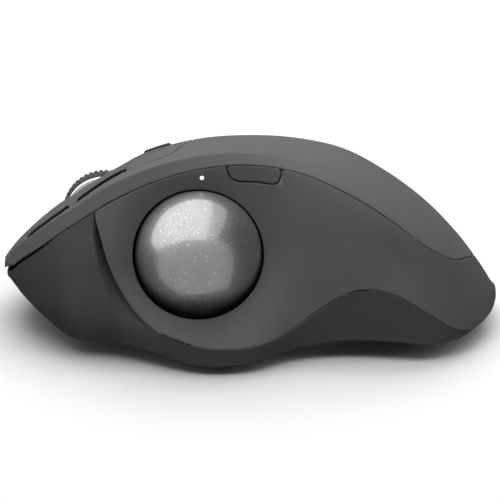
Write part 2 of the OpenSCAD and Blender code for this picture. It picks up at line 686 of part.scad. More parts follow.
// Scroll wheel
AXLE_R = 1.5;
TYRE_IN = 9.9;
module wheel_tyre() {
    r = wheel_d / 2;
    color([0.06, 0.06, 0.06]) translate(WHEEL) rotate([90, 0, 0]) translate([0, 0, -wheel_w / 2])
        difference() {
            linear_extrude(wheel_w) difference() {
                circle(r);
                circle(TYRE_IN);
                for (k = [0:wheel_ribs - 1])
                    rotate(k * 360 / wheel_ribs) translate([r, 0]) circle(0.42, $fn = 4);
            }
        }
}
module wheel_hub() {
    color([0.85, 0.85, 0.87]) translate(WHEEL) rotate([90, 0, 0]) difference() {
        union() {
            translate([0, 0, -wheel_w / 2]) cylinder(r = TYRE_IN, h = wheel_w);
            translate([0, 0, -4.3]) cylinder(r = 3, h = 8.6);
        }
        for (s = [-1, 1]) translate([0, 0, s * wheel_w / 2]) rotate_extrude()
            translate([6.1, 0]) circle(r = 1.6, $fn = 32);
        translate([0, 0, -10]) cylinder(r = AXLE_R, h = 20);
    }
}
module wheel_axle() {
    color(steel) rod_y(-2.6, 13, WHEEL[0], WHEEL[2], AXLE_R);
}
ROCK_Z = 12.6;
ROCK_R = 1;
module wheel_cradle() {
    color([0.15, 0.15, 0.16]) difference() {
        union() {
            box([-50.2, STRIP_LOW, 11.6], [-28.2, STRIP_HIGH, 13.6]);
            for (y = [STRIP_LOW, STRIP_HIGH - 2]) {
                box([WHEEL[0] - 2.4, y, 13.5], [WHEEL[0] + 2.4, y + 2, WHEEL[2]]);
                rod_y(y, y + 2, WHEEL[0], WHEEL[2], 2.4);
            }
            rod_x(-52.9, -49, WHEEL[1], ROCK_Z, ROCK_R);
            rod_x(-29, -25.6, WHEEL[1], ROCK_Z, ROCK_R);
        }
        rod_y(-5, 15, WHEEL[0], WHEEL[2], AXLE_R + RUN);
    }
}
PRESS_X = -26;
FRAME_LOW = 10.75;
FRAME_HIGH = 14.6;
FRAME_Y = [-6.5, 16.5];
TRUNNION_R = 1;
module wheel_frame() {
    color([0.2, 0.2, 0.21]) difference() {
        union() {
            box([-53.2, FRAME_Y[0], FRAME_LOW], [-24.4, FRAME_Y[1], FRAME_HIGH]);
            rod_y(FRAME_Y[0] - 2.7, FRAME_Y[0] + 1, PRESS_X, ROCK_Z, TRUNNION_R);
            rod_y(FRAME_Y[1] - 1, FRAME_Y[1] + 2.7, PRESS_X, ROCK_Z, TRUNNION_R);
        }
        box([-50.7, -3.6, 0], [-27.7, 13.7, 20]);
        rod_x(-60, -20, WHEEL[1], ROCK_Z, ROCK_R + RUN);
    }
}
module wheel_mount() {
    color([0.17, 0.17, 0.18]) difference() {
        union() {
            box([PRESS_X - 2.2, FRAME_Y[0] - 3, BOARD_Z + BOARD_T], [PRESS_X + 2.2, FRAME_Y[0] - 0.4, 15]);
            box([PRESS_X - 2.2, FRAME_Y[1] + 0.4, 5], [PRESS_X + 2.2, FRAME_Y[1] + 3, 15]);
        }
        rod_y(-20, 30, PRESS_X, ROCK_Z, TRUNNION_R + RUN);
        on_right_facet() translate([-90, FOLD_Y - 5, -20]) cube([180, 90, 20 + wall + 0.02]);
    }
}
module wheel_encoder() {
    color([0.1, 0.1, 0.11]) difference() {
        box([WHEEL[0] - 2.8, STRIP_HIGH, 21.5], [WHEEL[0] + 3.2, STRIP_HIGH + 1.8, 28.2]);
        rod_y(0, 20, WHEEL[0], WHEEL[2], AXLE_R + RUN);
    }
}
module wheel_switch() {
    color([0.12, 0.12, 0.13]) {
        box([-37.6, -6.5, BOARD_Z + BOARD_T], [-33.6, -3, 9.6]);
        translate([-35.6, -4.8, 9.6]) cylinder(r = 0.8, h = 0.6);
    }
}

// Boards, switches and power
module main_board() {
    color(board_green) difference() {
        translate([0, 0, BOARD_Z]) linear_extrude(BOARD_T) translate([(BOARD[0][0] + BOARD[1][0]) / 2,
            (BOARD[0][1] + BOARD[1][1]) / 2]) rounded_rect(BOARD[1] - BOARD[0], 1.5);
        for (p = BOARD_SCREWS) translate([p[0], p[1], 0]) cylinder(r = 0.9, h = 20);
    }
}
module board_screws() {
    color(steel) for (p = BOARD_SCREWS) translate([p[0], p[1], BOARD_Z + BOARD_T + 0.9]) mirror([0, 0, 1])
        screw(2.6, 1.7, 0.9, 0.7);
}
SWITCH = [10, 5, 6.4];
LEFT_SWITCH = [-50, -11.5, 22];
RIGHT_SWITCH = [-50, 17.2, 12.5];
module button_switch(corner, post) {
    difference() {
        box(corner, corner + SWITCH);
        translate([post[0], post[1], corner[2] + 3]) cylinder(r = 0.95, h = 10);
    }
}
module button_switches() {
    color([0.1, 0.1, 0.1]) {
        button_switch(LEFT_SWITCH, LEFT_POST);
        button_switch(RIGHT_SWITCH, RIGHT_POST);
    }
}
module actuator(post) {
    translate([post[0], post[1], post[2] - 2.6]) cylinder(r = 0.9, h = 2.55);
}
module left_actuator() {
    color([0.8, 0.2, 0.15]) actuator(LEFT_POST);
}
module right_actuator() {
    color([0.8, 0.2, 0.15]) actuator(RIGHT_POST);
}
module switch_stand() {
    color([0.18, 0.18, 0.19]) {
        box([LEFT_SWITCH[0] + 5.2, LEFT_SWITCH[1], FACET_Z + wall],
            LEFT_SWITCH + [SWITCH[0], SWITCH[1] - 0.6, 0]);
        box(LEFT_SWITCH + [0, 0, -1.4], LEFT_SWITCH + [SWITCH[0], SWITCH[1], 0]);
        difference() {
            box([RIGHT_SWITCH[0] + 5.2, RIGHT_SWITCH[1], 5], RIGHT_SWITCH + [SWITCH[0], SWITCH[1], 0]);
            on_right_facet() translate([-90, FOLD_Y - 5, -20]) cube([180, 90, 20 + wall + 0.02]);
        }
        box(RIGHT_SWITCH + [0, 0, -1.4], RIGHT_SWITCH + [SWITCH[0], SWITCH[1], 0]);
    }
}
SIDE_SLOPE = 37;
module side_switches() {
    color([0.12, 0.12, 0.13]) translate([-46.5, -16.6, 29]) rotate([0, -SIDE_SLOPE, 0]) {
        translate([-11, -2.2, -0.5]) cube([27, 4.4, 1]);
        for (x = [-10.5, 5]) translate([x, -1.6, 0.4]) cube([5, 3.2, 1.6]);
    }
}
module thumb_board() {
    color(board_green) box([-15.5, -14.4, 41.2], [9.5, -13.6, 46.6]);
    color([0.1, 0.1, 0.1]) box([-1.5, -15.1, 42.4], [3.5, -14.3, 45.6]);
}
module mode_switch() {
    color([0.12, 0.12, 0.13]) {
        translate([-24.8, 5, MODE_BOARD_Z]) linear_extrude(1) rounded_rect([14, 7], 1);
        translate([-24.9, 5, MODE_BOARD_Z + 0.9]) linear_extrude(2) rounded_rect([4.4, 4.4], 0.4);
    }
}
TRAY = [[7, -20.5, 7], [44, 8, 11.5]];
module battery_tray() {
    color([0.16, 0.16, 0.17]) {
        difference() {
            box(TRAY[0], TRAY[1]);
            box(TRAY[0] + [1, 1, 1], TRAY[1] + [-1, -1, 5]);
        }
        for (x = [18.5, 40], y = [-17, 5]) translate([x, y, FACET_Z + wall]) cylinder(r = 1.5, h = 2.2);
    }
}
module battery() {
    middle = (TRAY[0] + TRAY[1]) / 2;
    color([0.35, 0.4, 0.5]) translate([middle[0], middle[1], TRAY[0][2] + 1.05]) linear_extrude(6)
        rounded_rect([34.4, 26], 2);
}
module power_slider() {
    color([0.1, 0.45, 0.2]) translate([SLIDER[0], SLIDER[1], 0]) {
        translate([0, 0, 3]) linear_extrude(2.5) rounded_rect([5, 2.6], 1.2);
        translate([0, 0, 5.4]) linear_extrude(0.8) rounded_rect([12.5, 4.6], 0.8);
    }
}
module power_switch() {
    color([0.1, 0.1, 0.1]) box([24, -30.3, 6.3], [38, -23.7, 9.6]);
}
module usb_port() {
    sheet = 0.3;
    middle = (PORT[0] + PORT[1]) / 2;
    color(steel) difference() {
        box(PORT[0], PORT[1]);
        box(PORT[0] + [-8, sheet, sheet], PORT[1] - [0.5, sheet, sheet]);
    }
    color([0.1, 0.1, 0.1]) box([PORT[0][0] + 1, middle[1] - 2.4, middle[2] - 0.2],
        [PORT[1][0] - 0.4, middle[1] + 2.4, middle[2] + 0.4]);
    color(board_green) box([-58.5, PORT[0][1] - 0.4, PORT[0][2] - 0.85], [-54, PORT[1][1] + 0.4, PORT[0][2]]);
}
module antenna_module() {
    color([0.5, 0.5, 0.52]) translate([-9, 1.5, BOARD_Z + BOARD_T]) linear_extrude(1.2)
        rounded_rect([11, 8], 0.6);
}

base_plate();
rubber_sole();
hinge_pins();
hinge_brackets();
bottom_case();
case_screws();
holding_magnets();
lower_housing();
thumb_panel();
finger_panel();
palm_cover();
centre_strip();
left_button();
right_button();
forward_button();
back_button();
mode_button();
precision_button();
status_light_guide();
trackball();
ball_cup();
bearing_balls();
sensor_lens();
ball_sensor();
sensor_board();
wheel_tyre();
wheel_hub();
wheel_axle();
wheel_cradle();
wheel_frame();
wheel_mount();
wheel_encoder();
wheel_switch();
main_board();
button_switches();
left_actuator();
right_actuator();
switch_stand();
side_switches();
thumb_board();
mode_switch();
battery();
battery_tray();
power_slider();
power_switch();
usb_port();
antenna_module();
board_screws();
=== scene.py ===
"""Looks of a thumb-operated trackball mouse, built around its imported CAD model. Lengths in this file are in millimetres
until a mesh is made, and then metres."""
import json
import math

import bpy
import numpy as np
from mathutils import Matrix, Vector, geometry, kdtree


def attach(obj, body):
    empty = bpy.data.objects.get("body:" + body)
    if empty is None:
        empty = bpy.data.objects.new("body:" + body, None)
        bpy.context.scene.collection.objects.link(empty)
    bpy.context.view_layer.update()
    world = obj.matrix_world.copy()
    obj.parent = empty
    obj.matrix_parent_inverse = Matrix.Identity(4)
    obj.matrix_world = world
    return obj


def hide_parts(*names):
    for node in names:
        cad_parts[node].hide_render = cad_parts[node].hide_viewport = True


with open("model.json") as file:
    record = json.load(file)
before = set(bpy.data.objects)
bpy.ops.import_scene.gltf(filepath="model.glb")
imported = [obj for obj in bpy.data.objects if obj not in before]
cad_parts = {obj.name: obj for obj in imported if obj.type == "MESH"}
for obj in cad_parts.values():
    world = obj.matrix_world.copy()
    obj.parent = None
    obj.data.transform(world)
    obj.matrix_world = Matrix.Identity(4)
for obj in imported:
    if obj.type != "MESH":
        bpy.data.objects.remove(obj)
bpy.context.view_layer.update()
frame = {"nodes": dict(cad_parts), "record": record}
MM = 0.001

# ------------------------------------------------------------------ body skin
# One row of [y, z] points for each of 17 stations, nose to tail, as in the CAD source.
# Columns: skirt edge, wing edge, thumb face, bevel seam, ridge, three on the crown, right seam, right bulge,
# right lower edge, fold line of the underside, left edge of the underside.
HALF = 66.0
BEVEL, RIDGE, RIGHT_SEAM, BULGE = 3, 4, 8, 9
RAILS = np.array([
    [[-7, 13.5], [-8, 14], [-8.5, 14.5], [-9, 15.5], [-8.5, 16.5], [-4, 16.5], [1, 15],
     [4, 14], [5, 13.5], [5, 13], [4, 12.5], [-1, 12.4], [-5.5, 12.6]],
    [[-7, 12.3], [-9.5, 13], [-11.5, 14.5], [-12, 16.5], [-11, 19.5], [-3, 18.3], [5, 15.3],
     [9, 13.8], [10.5, 12.9], [10.5, 12], [8, 11.3], [1, 10.9], [-5.5, 11.3]],
    [[-14, 9.5], [-16.5, 12], [-18, 16], [-17, 21], [-15.5, 24.7], [-5, 23.4], [6, 19.1],
     [13, 16.8], [16.5, 15.3], [18, 13.3], [15.5, 11], [4, 8.6], [-10.5, 8.7]],
    [[-23, 6.6], [-26, 11], [-25.5, 19], [-22, 26.8], [-20, 31], [-7, 29.8], [7, 24.3],
     [18, 20.3], [24, 17.3], [27, 14], [24.5, 10.2], [9, 5], [-19, 5.2]],
    [[-33.5, 4.3], [-36, 10], [-32, 22], [-25, 33.5], [-22.5, 37.4], [-8, 36.7], [8, 30.4],
     [21, 25.2], [30, 20.5], [35, 15.5], [32, 11], [12.5, 3.5], [-29, 3.5]],
    [[-36, 4.4], [-38.5, 10], [-33, 24.5], [-24, 39.6], [-21.5, 43.7], [-7, 43], [9, 36.9],
     [25, 29.8], [35, 24], [41, 18], [38.5, 13.2], [12.5, 3.5], [-32, 3.5]],
    [[-43, 3.8], [-44, 10.5], [-29, 25], [-21, 44], [-18.5, 47.5], [-5, 47.3], [10, 41.8],
     [27, 33.8], [38, 27], [45.5, 20], [43, 15], [12.5, 3.5], [-39, 3.5]],
    [[-49, 2.5], [-49.5, 8.4], [-27, 25.5], [-18, 46.6], [-15, 49.3], [-3, 49.7], [11, 44.4],
     [28.5, 35.8], [40, 28.5], [48.5, 21], [46, 16], [12.5, 3.5], [-45.5, 3.5]],
    [[-48, 2.8], [-48.5, 7.7], [-28, 25.5], [-17, 47.3], [-14, 49.5], [-2, 50.2], [12, 44.9],
     [29.5, 36.3], [41.5, 28.5], [49.5, 21.5], [47, 16.4], [12.5, 3.5], [-44.5, 3.5]],
    [[-39.5, 4], [-40, 10.3], [-30.5, 27], [-19, 45.9], [-15, 47.7], [-2, 49.3], [12, 44],
     [29.5, 35.3], [41.5, 28], [49, 21], [46.5, 16.2], [12.5, 3.5], [-36, 3.5]],
    [[-37, 5], [-36.5, 18], [-31, 29.5], [-23, 41.5], [-16, 45], [-3, 46.6], [12, 40.8],
     [28.5, 32.3], [40, 25.5], [47, 19.5], [44.5, 15.5], [12.5, 3.5], [-33, 3.5]],
    [[-38, 5.2], [-36.5, 18.6], [-32, 26.5], [-27, 35.5], [-18, 40], [-4, 40.7], [10, 35],
     [26, 27.7], [36.5, 22], [43, 17], [40.5, 13.9], [12.5, 3.5], [-34, 3.5]],
    [[-39, 4.6], [-38, 13.8], [-34, 20.5], [-29.5, 28], [-19, 33], [-6, 33.5], [8, 28.1],
     [22.5, 22.3], [31.5, 18], [37, 14], [34.5, 11.7], [12.5, 3.5], [-35, 3.5]],
    [[-34.5, 4.6], [-34.5, 7.4], [-32, 13.5], [-26.5, 20.5], [-18, 24.5], [-8, 25.3], [4, 21.3],
     [17, 16.8], [24.5, 13.8], [28.5, 11.2], [26, 9.2], [12.5, 3.6], [-30, 3.6]],
    [[-25.5, 5.3], [-26, 6.6], [-24.5, 10], [-20, 14.3], [-14.5, 16.7], [-7, 16.9], [1, 14.1],
     [11, 10.4], [16, 8.8], [18, 7.8], [15.5, 6.6], [8, 4.8], [-20, 4.4]],
    [[-16, 5.9], [-17, 6.8], [-16, 9], [-13.5, 10.6], [-10.5, 11.2], [-6.5, 10.8], [-1.5, 8.9],
     [3, 7.6], [5.5, 6.9], [6, 6.4], [4, 5.7], [-4, 5.3], [-12, 5.4]],
    [[-9, 7.2], [-10, 7.6], [-10, 8.2], [-9, 8.8], [-8, 9], [-6, 8.8], [-3, 8.2],
     [-1, 7.7], [0, 7.4], [0.3, 7.2], [0, 7], [-4, 6.9], [-7.5, 7]],
], float)
LAST = len(RAILS) - 1
SMOOTH_SPANS = 10
COLUMNS = 13
CAP = 0.02
# Typical width of each span in mm, so that a flat chart of the skin keeps its proportions
SPAN_MM = np.array([9, 21, 17, 4.5, 13, 14.5, 18, 12, 9, 5, 28, 44, 6.0])
CHART = np.concatenate([[0], np.cumsum(SPAN_MM)])
GIRTH = CHART[-1]


def ramp(lo, hi, v):
    t = np.clip((v - lo) / (hi - lo), 0, 1)
    return t * t * (3 - 2 * t)


def hermite(p0, p1, m0, m1, t):
    t2, t3 = t * t, t * t * t
    return (2 * t3 - 3 * t2 + 1) * p0 + (t3 - 2 * t2 + t) * m0 + (3 * t2 - 2 * t3) * p1 + (t3 - t2) * m1


def rails_at(u):
    s = np.clip(u, 0, 1) * LAST
    k = np.minimum(s.astype(int), LAST - 1)
    t = (s - k)[:, None, None]

    def row(i):
        return RAILS[np.where(i < 0, 1, np.where(i > LAST, LAST - 1, i))]
    return hermite(row(k), row(k + 1), (row(k + 1) - row(k - 1)) / 2, (row(k + 2) - row(k)) / 2, t)


def unit(a):
    return a / np.maximum(np.linalg.norm(a, axis=-1, keepdims=True), 1e-12)


def x_of(q):
    return -HALF * np.cos(np.pi * np.clip(q, 0, 1))


def q_of(x):
    return np.arccos(np.clip(-np.asarray(x, float) / HALF, -1, 1)) / np.pi


def sharpness(x):
    """How sharp each of the 11 smooth columns is at x."""
    c = np.zeros((len(x), SMOOTH_SPANS + 1))
    c[:, 1] = ramp(-36, -22, x)
    c[:, BEVEL] = c[:, RIDGE] = 1 - ramp(0, 34, x)
    return c[:, :, None]


def skin(q, v):
    """Points on the skin. q runs from 0 at the nose to 1 at the tail, and v round the section, modulo 13."""
    q, v = np.broadcast_arrays(np.asarray(q, float), np.asarray(v, float))
    shape, q, v = q.shape, q.ravel(), v.ravel()
    p, x = rails_at(q), x_of(q)
    s = p[:, :SMOOTH_SPANS + 1]
    step = s[:, 1:] - s[:, :-1]
    size = np.maximum(np.linalg.norm(step, axis=2, keepdims=True), 1e-9)
    way = step / size
    t = np.empty_like(s)
    t[:, 0], t[:, -1] = way[:, 0], way[:, -1]
    t[:, 1:-1] = (way[:, :-1] * size[:, 1:] + way[:, 1:] * size[:, :-1]) / (size[:, 1:] + size[:, :-1])
    c = sharpness(x)
    out, into = t.copy(), t.copy()
    sharp_out = 1.5 * way - 0.5 * t[:, 1:]
    sharp_out[:, BEVEL] = way[:, BEVEL]
    sharp_in = 1.5 * way - 0.5 * t[:, :-1]
    sharp_in[:, BEVEL] = way[:, BEVEL]
    out[:, 1:-1] = t[:, 1:-1] * (1 - c[:, 1:-1]) + c[:, 1:-1] * sharp_out[:, 1:]
    into[:, 1:-1] = t[:, 1:-1] * (1 - c[:, 1:-1]) + c[:, 1:-1] * sharp_in[:, :-1]
    w = np.mod(v, COLUMNS)
    j = np.minimum(w.astype(int), COLUMNS - 1)
    f = (w - j)[:, None]
    n = np.arange(len(q))
    curved = j < SMOOTH_SPANS
    a = np.minimum(j, SMOOTH_SPANS - 1)
    d = size[n, a]
    yz = np.where(curved[:, None],
                  hermite(s[n, a], s[n, a + 1], out[n, a] * d, into[n, a + 1] * d, f),
                  p[n, j] * (1 - f) + p[n, (j + 1) % COLUMNS] * f)
    return np.column_stack([x, yz]).reshape(*shape, 3)


def ends(q, p, v, caps):
    """Closes the nose and the tail: past q = 0 or 1, a point moves to the chord between the section's points at
    caps = ((nose a, b), (tail a, b))."""
    for side, (a, b) in zip((0.0, 1.0), caps):
        past = (q < 0) if side == 0 else (q > 1)
        if not past.any():
            continue
        t = np.clip(np.abs(q[past] - side) / CAP, 0, 1)[:, None]
        f = np.clip((v[past] - a) / (b - a), 0, 1)[:, None]
        pa, pb = skin(side, a), skin(side, b)
        p[past] = p[past] * (1 - t) + (pa * (1 - f) + pb * f) * t
    return p


def chart_y(v):
    v = np.asarray(v, float)
    turns = np.floor(v / COLUMNS)
    return turns * GIRTH + np.interp(v - turns * COLUMNS, np.arange(COLUMNS + 1), CHART)


def unchart_y(y):
    y = np.asarray(y, float)
    turns = np.floor(y / GIRTH)
    return turns * COLUMNS + np.interp(y - turns * GIRTH, CHART, np.arange(COLUMNS + 1))


CHART_X = HALF * math.pi


class Surface:
    """The skin as a map from the flat chart to space, with an optional change of shape."""

    def __init__(self, caps=((3, 8), (3, 8)), change=None):
        self.caps, self.change = caps, change

    def __call__(self, c):
        c = np.asarray(c, float)
        q, v = c[:, 0] / CHART_X, unchart_y(c[:, 1])
        p = ends(q, skin(q, v), v, self.caps)
        return self.change(p) if self.change else p

    def slopes(self, c, h=0.02):
        c = np.asarray(c, float)
        e1, e2 = np.array([h, 0]), np.array([0, h])
        return (self(c + e1) - self(c - e1)) / (2 * h), (self(c + e2) - self(c - e2)) / (2 * h)

    def normal(self, c):
        a, b = self.slopes(c)
        return unit(np.cross(a, b))


PLAIN = Surface()


def project(points, e1, e2, origin, v_lo, v_hi, x_lo=-66.0, x_hi=66.0):
    """Chart places of flat points [a, b], seen along e1 x e2, on the part of the skin between two columns."""
    points, e1, e2, origin = (np.asarray(a, float) for a in (points, e1, e2, origin))
    qs = np.linspace(q_of(x_lo), q_of(x_hi), 120)
    vs = np.linspace(v_lo, v_hi, 160)
    gq, gv = np.meshgrid(qs, vs, indexing="ij")
    grid = np.column_stack([gq.ravel() * CHART_X, chart_y(gv.ravel())])
    space = PLAIN(grid) - origin
    flat = np.column_stack([space @ e1, space @ e2])
    tree = kdtree.KDTree(len(flat))
    for i, (a, b) in enumerate(flat):
        tree.insert((a, b, 0), i)
    tree.balance()
    c = grid[[tree.find((a, b, 0))[1] for a, b in points]]
    lo, hi = chart_y(v_lo), chart_y(v_hi)
    for _ in range(12):
        s = PLAIN(c) - origin
        miss = points - np.column_stack([s @ e1, s @ e2])
        a, b = PLAIN.slopes(c, 0.01)
        m = np.stack([np.column_stack([a @ e1, b @ e1]), np.column_stack([a @ e2, b @ e2])], axis=1)
        det = m[:, 0, 0] * m[:, 1, 1] - m[:, 0, 1] * m[:, 1, 0]
        det = np.where(np.abs(det) < 1e-4, np.sign(det + 1e-12) * 1e-4, det)
        step = np.column_stack([(m[:, 1, 1] * miss[:, 0] - m[:, 0, 1] * miss[:, 1]) / det,
                                (m[:, 0, 0] * miss[:, 1] - m[:, 1, 0] * miss[:, 0]) / det])
        size = np.linalg.norm(step, axis=1, keepdims=True)
        c = c + step * np.minimum(1, 1.5 / np.maximum(size, 1e-9))
        c[:, 0] = np.clip(c[:, 0], 0, CHART_X)
        c[:, 1] = np.clip(c[:, 1], lo - 2, hi + 2)
    return c


X, Y, Z = np.eye(3)


def plan(points, v_lo=2.6, v_hi=9.4, **k):
    return project(points, X, Y, (0, 0, 0), v_lo, v_hi, **k)


def spline(points, step=0.5, closed=False):
    """Smooth line through points, resampled at about step mm."""
    p = np.asarray(points, float)
    if closed:
        p = np.vstack([p[-1], p, p[0], p[1]])
    else:
        p = np.vstack([2 * p[0] - p[1], p, 2 * p[-1] - p[-2]])
    out = []
    for i in range(1, len(p) - 2):
        d0, d1, d2 = (max(np.linalg.norm(p[i + k] - p[i + k - 1]), 1e-9) ** 0.5 for k in (0, 1, 2))
        m0 = ((p[i] - p[i - 1]) / d0 - (p[i + 1] - p[i - 1]) / (d0 + d1) + (p[i + 1] - p[i]) / d1) * d1
        m1 = ((p[i + 1] - p[i]) / d1 - (p[i + 2] - p[i]) / (d1 + d2) + (p[i + 2] - p[i + 1]) / d2) * d1
        n = max(2, int(np.linalg.norm(p[i + 1] - p[i]) / (step * 0.5)))
        t = (np.arange(n) / n)[:, None]
        out.append(hermite(p[i], p[i + 1], m0, m1, t))
    if not closed:
        out.append(p[-2:-1])
    return resample(np.vstack(out), step, closed)


def resample(p, step, closed=False):
    p = np.asarray(p, float)
    if closed:
        p = np.vstack([p, p[:1]])
    d = np.concatenate([[0], np.cumsum(np.linalg.norm(np.diff(p, axis=0), axis=1))])
    n = max(2, int(round(d[-1] / step)))
    s = np.linspace(0, d[-1], n + 1)
    out = np.column_stack([np.interp(s, d, p[:, k]) for k in range(p.shape[1])])
    return out[:-1] if closed else out


def resample_space(c, step, surface):
    """Points of a closed chart loop at about step mm apart in space."""
    c = np.vstack([c, c[:1]])
    between = np.linspace(0, 1, 6)[:-1, None]
    fine = np.vstack([a + (b - a) * between for a, b in zip(c[:-1], c[1:])] + [c[-1:]])
    d = np.concatenate([[0], np.cumsum(np.linalg.norm(np.diff(surface(fine), axis=0), axis=1))])
    s = np.linspace(0, d[-1], max(8, int(round(d[-1] / step))) + 1)
    return np.column_stack([np.interp(s, d, fine[:, k]) for k in range(2)])[:-1]


def area2(c):
    x, y = c[:, 0], c[:, 1]
    return float(np.sum(x * np.roll(y, -1) - np.roll(x, -1) * y))


def frame_on(c, surface):
    """Point, outward direction in the surface, and normal, along a loop with its material on the left."""
    p, n = surface(c), surface.normal(c)
    t1, t2 = unit(p - np.roll(p, 1, axis=0)), unit(np.roll(p, -1, axis=0) - p)
    b1, b2 = unit(np.cross(t1, n)), unit(np.cross(t2, n))
    b = unit(b1 + b2)
    stretch = 1 / np.maximum(0.6, np.sum(b * b1, axis=1))
    return p, b * stretch[:, None], n


def move_in(c, surface, dist):
    """Moves a chart loop towards its material by dist mm in space."""
    dist = np.broadcast_to(dist, (len(c),))
    for part in range(3):
        p, b, n = frame_on(c, surface)
        a1, a2 = surface.slopes(c, 0.05)
        want = -b * (dist / 3)[:, None]
        g11, g12, g22 = np.sum(a1 * a1, 1), np.sum(a1 * a2, 1), np.sum(a2 * a2, 1)
        r1, r2 = np.sum(a1 * want, 1), np.sum(a2 * want, 1)
        det = np.maximum(g11 * g22 - g12 * g12, 1e-6)
        step = np.column_stack([(g22 * r1 - g12 * r2) / det, (g11 * r2 - g12 * r1) / det])
        size = np.linalg.norm(step, axis=1, keepdims=True)
        c = c + step * np.minimum(1, 0.6 / np.maximum(size, 1e-9))
    return c


def inside(points, loops):
    hit = np.zeros(len(points), bool)
    x, y = points[:, 0], points[:, 1]
    for loop in loops:
        a, b = loop, np.roll(loop, -1, axis=0)
        for (x0, y0), (x1, y1) in zip(a, b):
            if y0 == y1:
                continue
            cross = (y0 > y) != (y1 > y)
            hit ^= cross & (x < (x1 - x0) * (y - y0) / (y1 - y0) + x0)
    return hit


def mesh_object(name, verts, faces, material, smooth=True):
    me = bpy.data.meshes.new(name)
    me.from_pydata([tuple(v) for v in np.asarray(verts) * MM], [], [tuple(int(i) for i in f) for f in faces])
    me.materials.append(material)
    if smooth:
        me.polygons.foreach_set("use_smooth", [True] * len(me.polygons))
    me.update()
    o = bpy.data.objects.new(name, me)
    bpy.context.scene.collection.objects.link(o)
    return o


NORMAL_GRID, EDGE_STEP = 0.55, 0.45
FINE = NORMAL_GRID
FOLDED = (0, 1, BEVEL, RIDGE, 10, 11, 12)


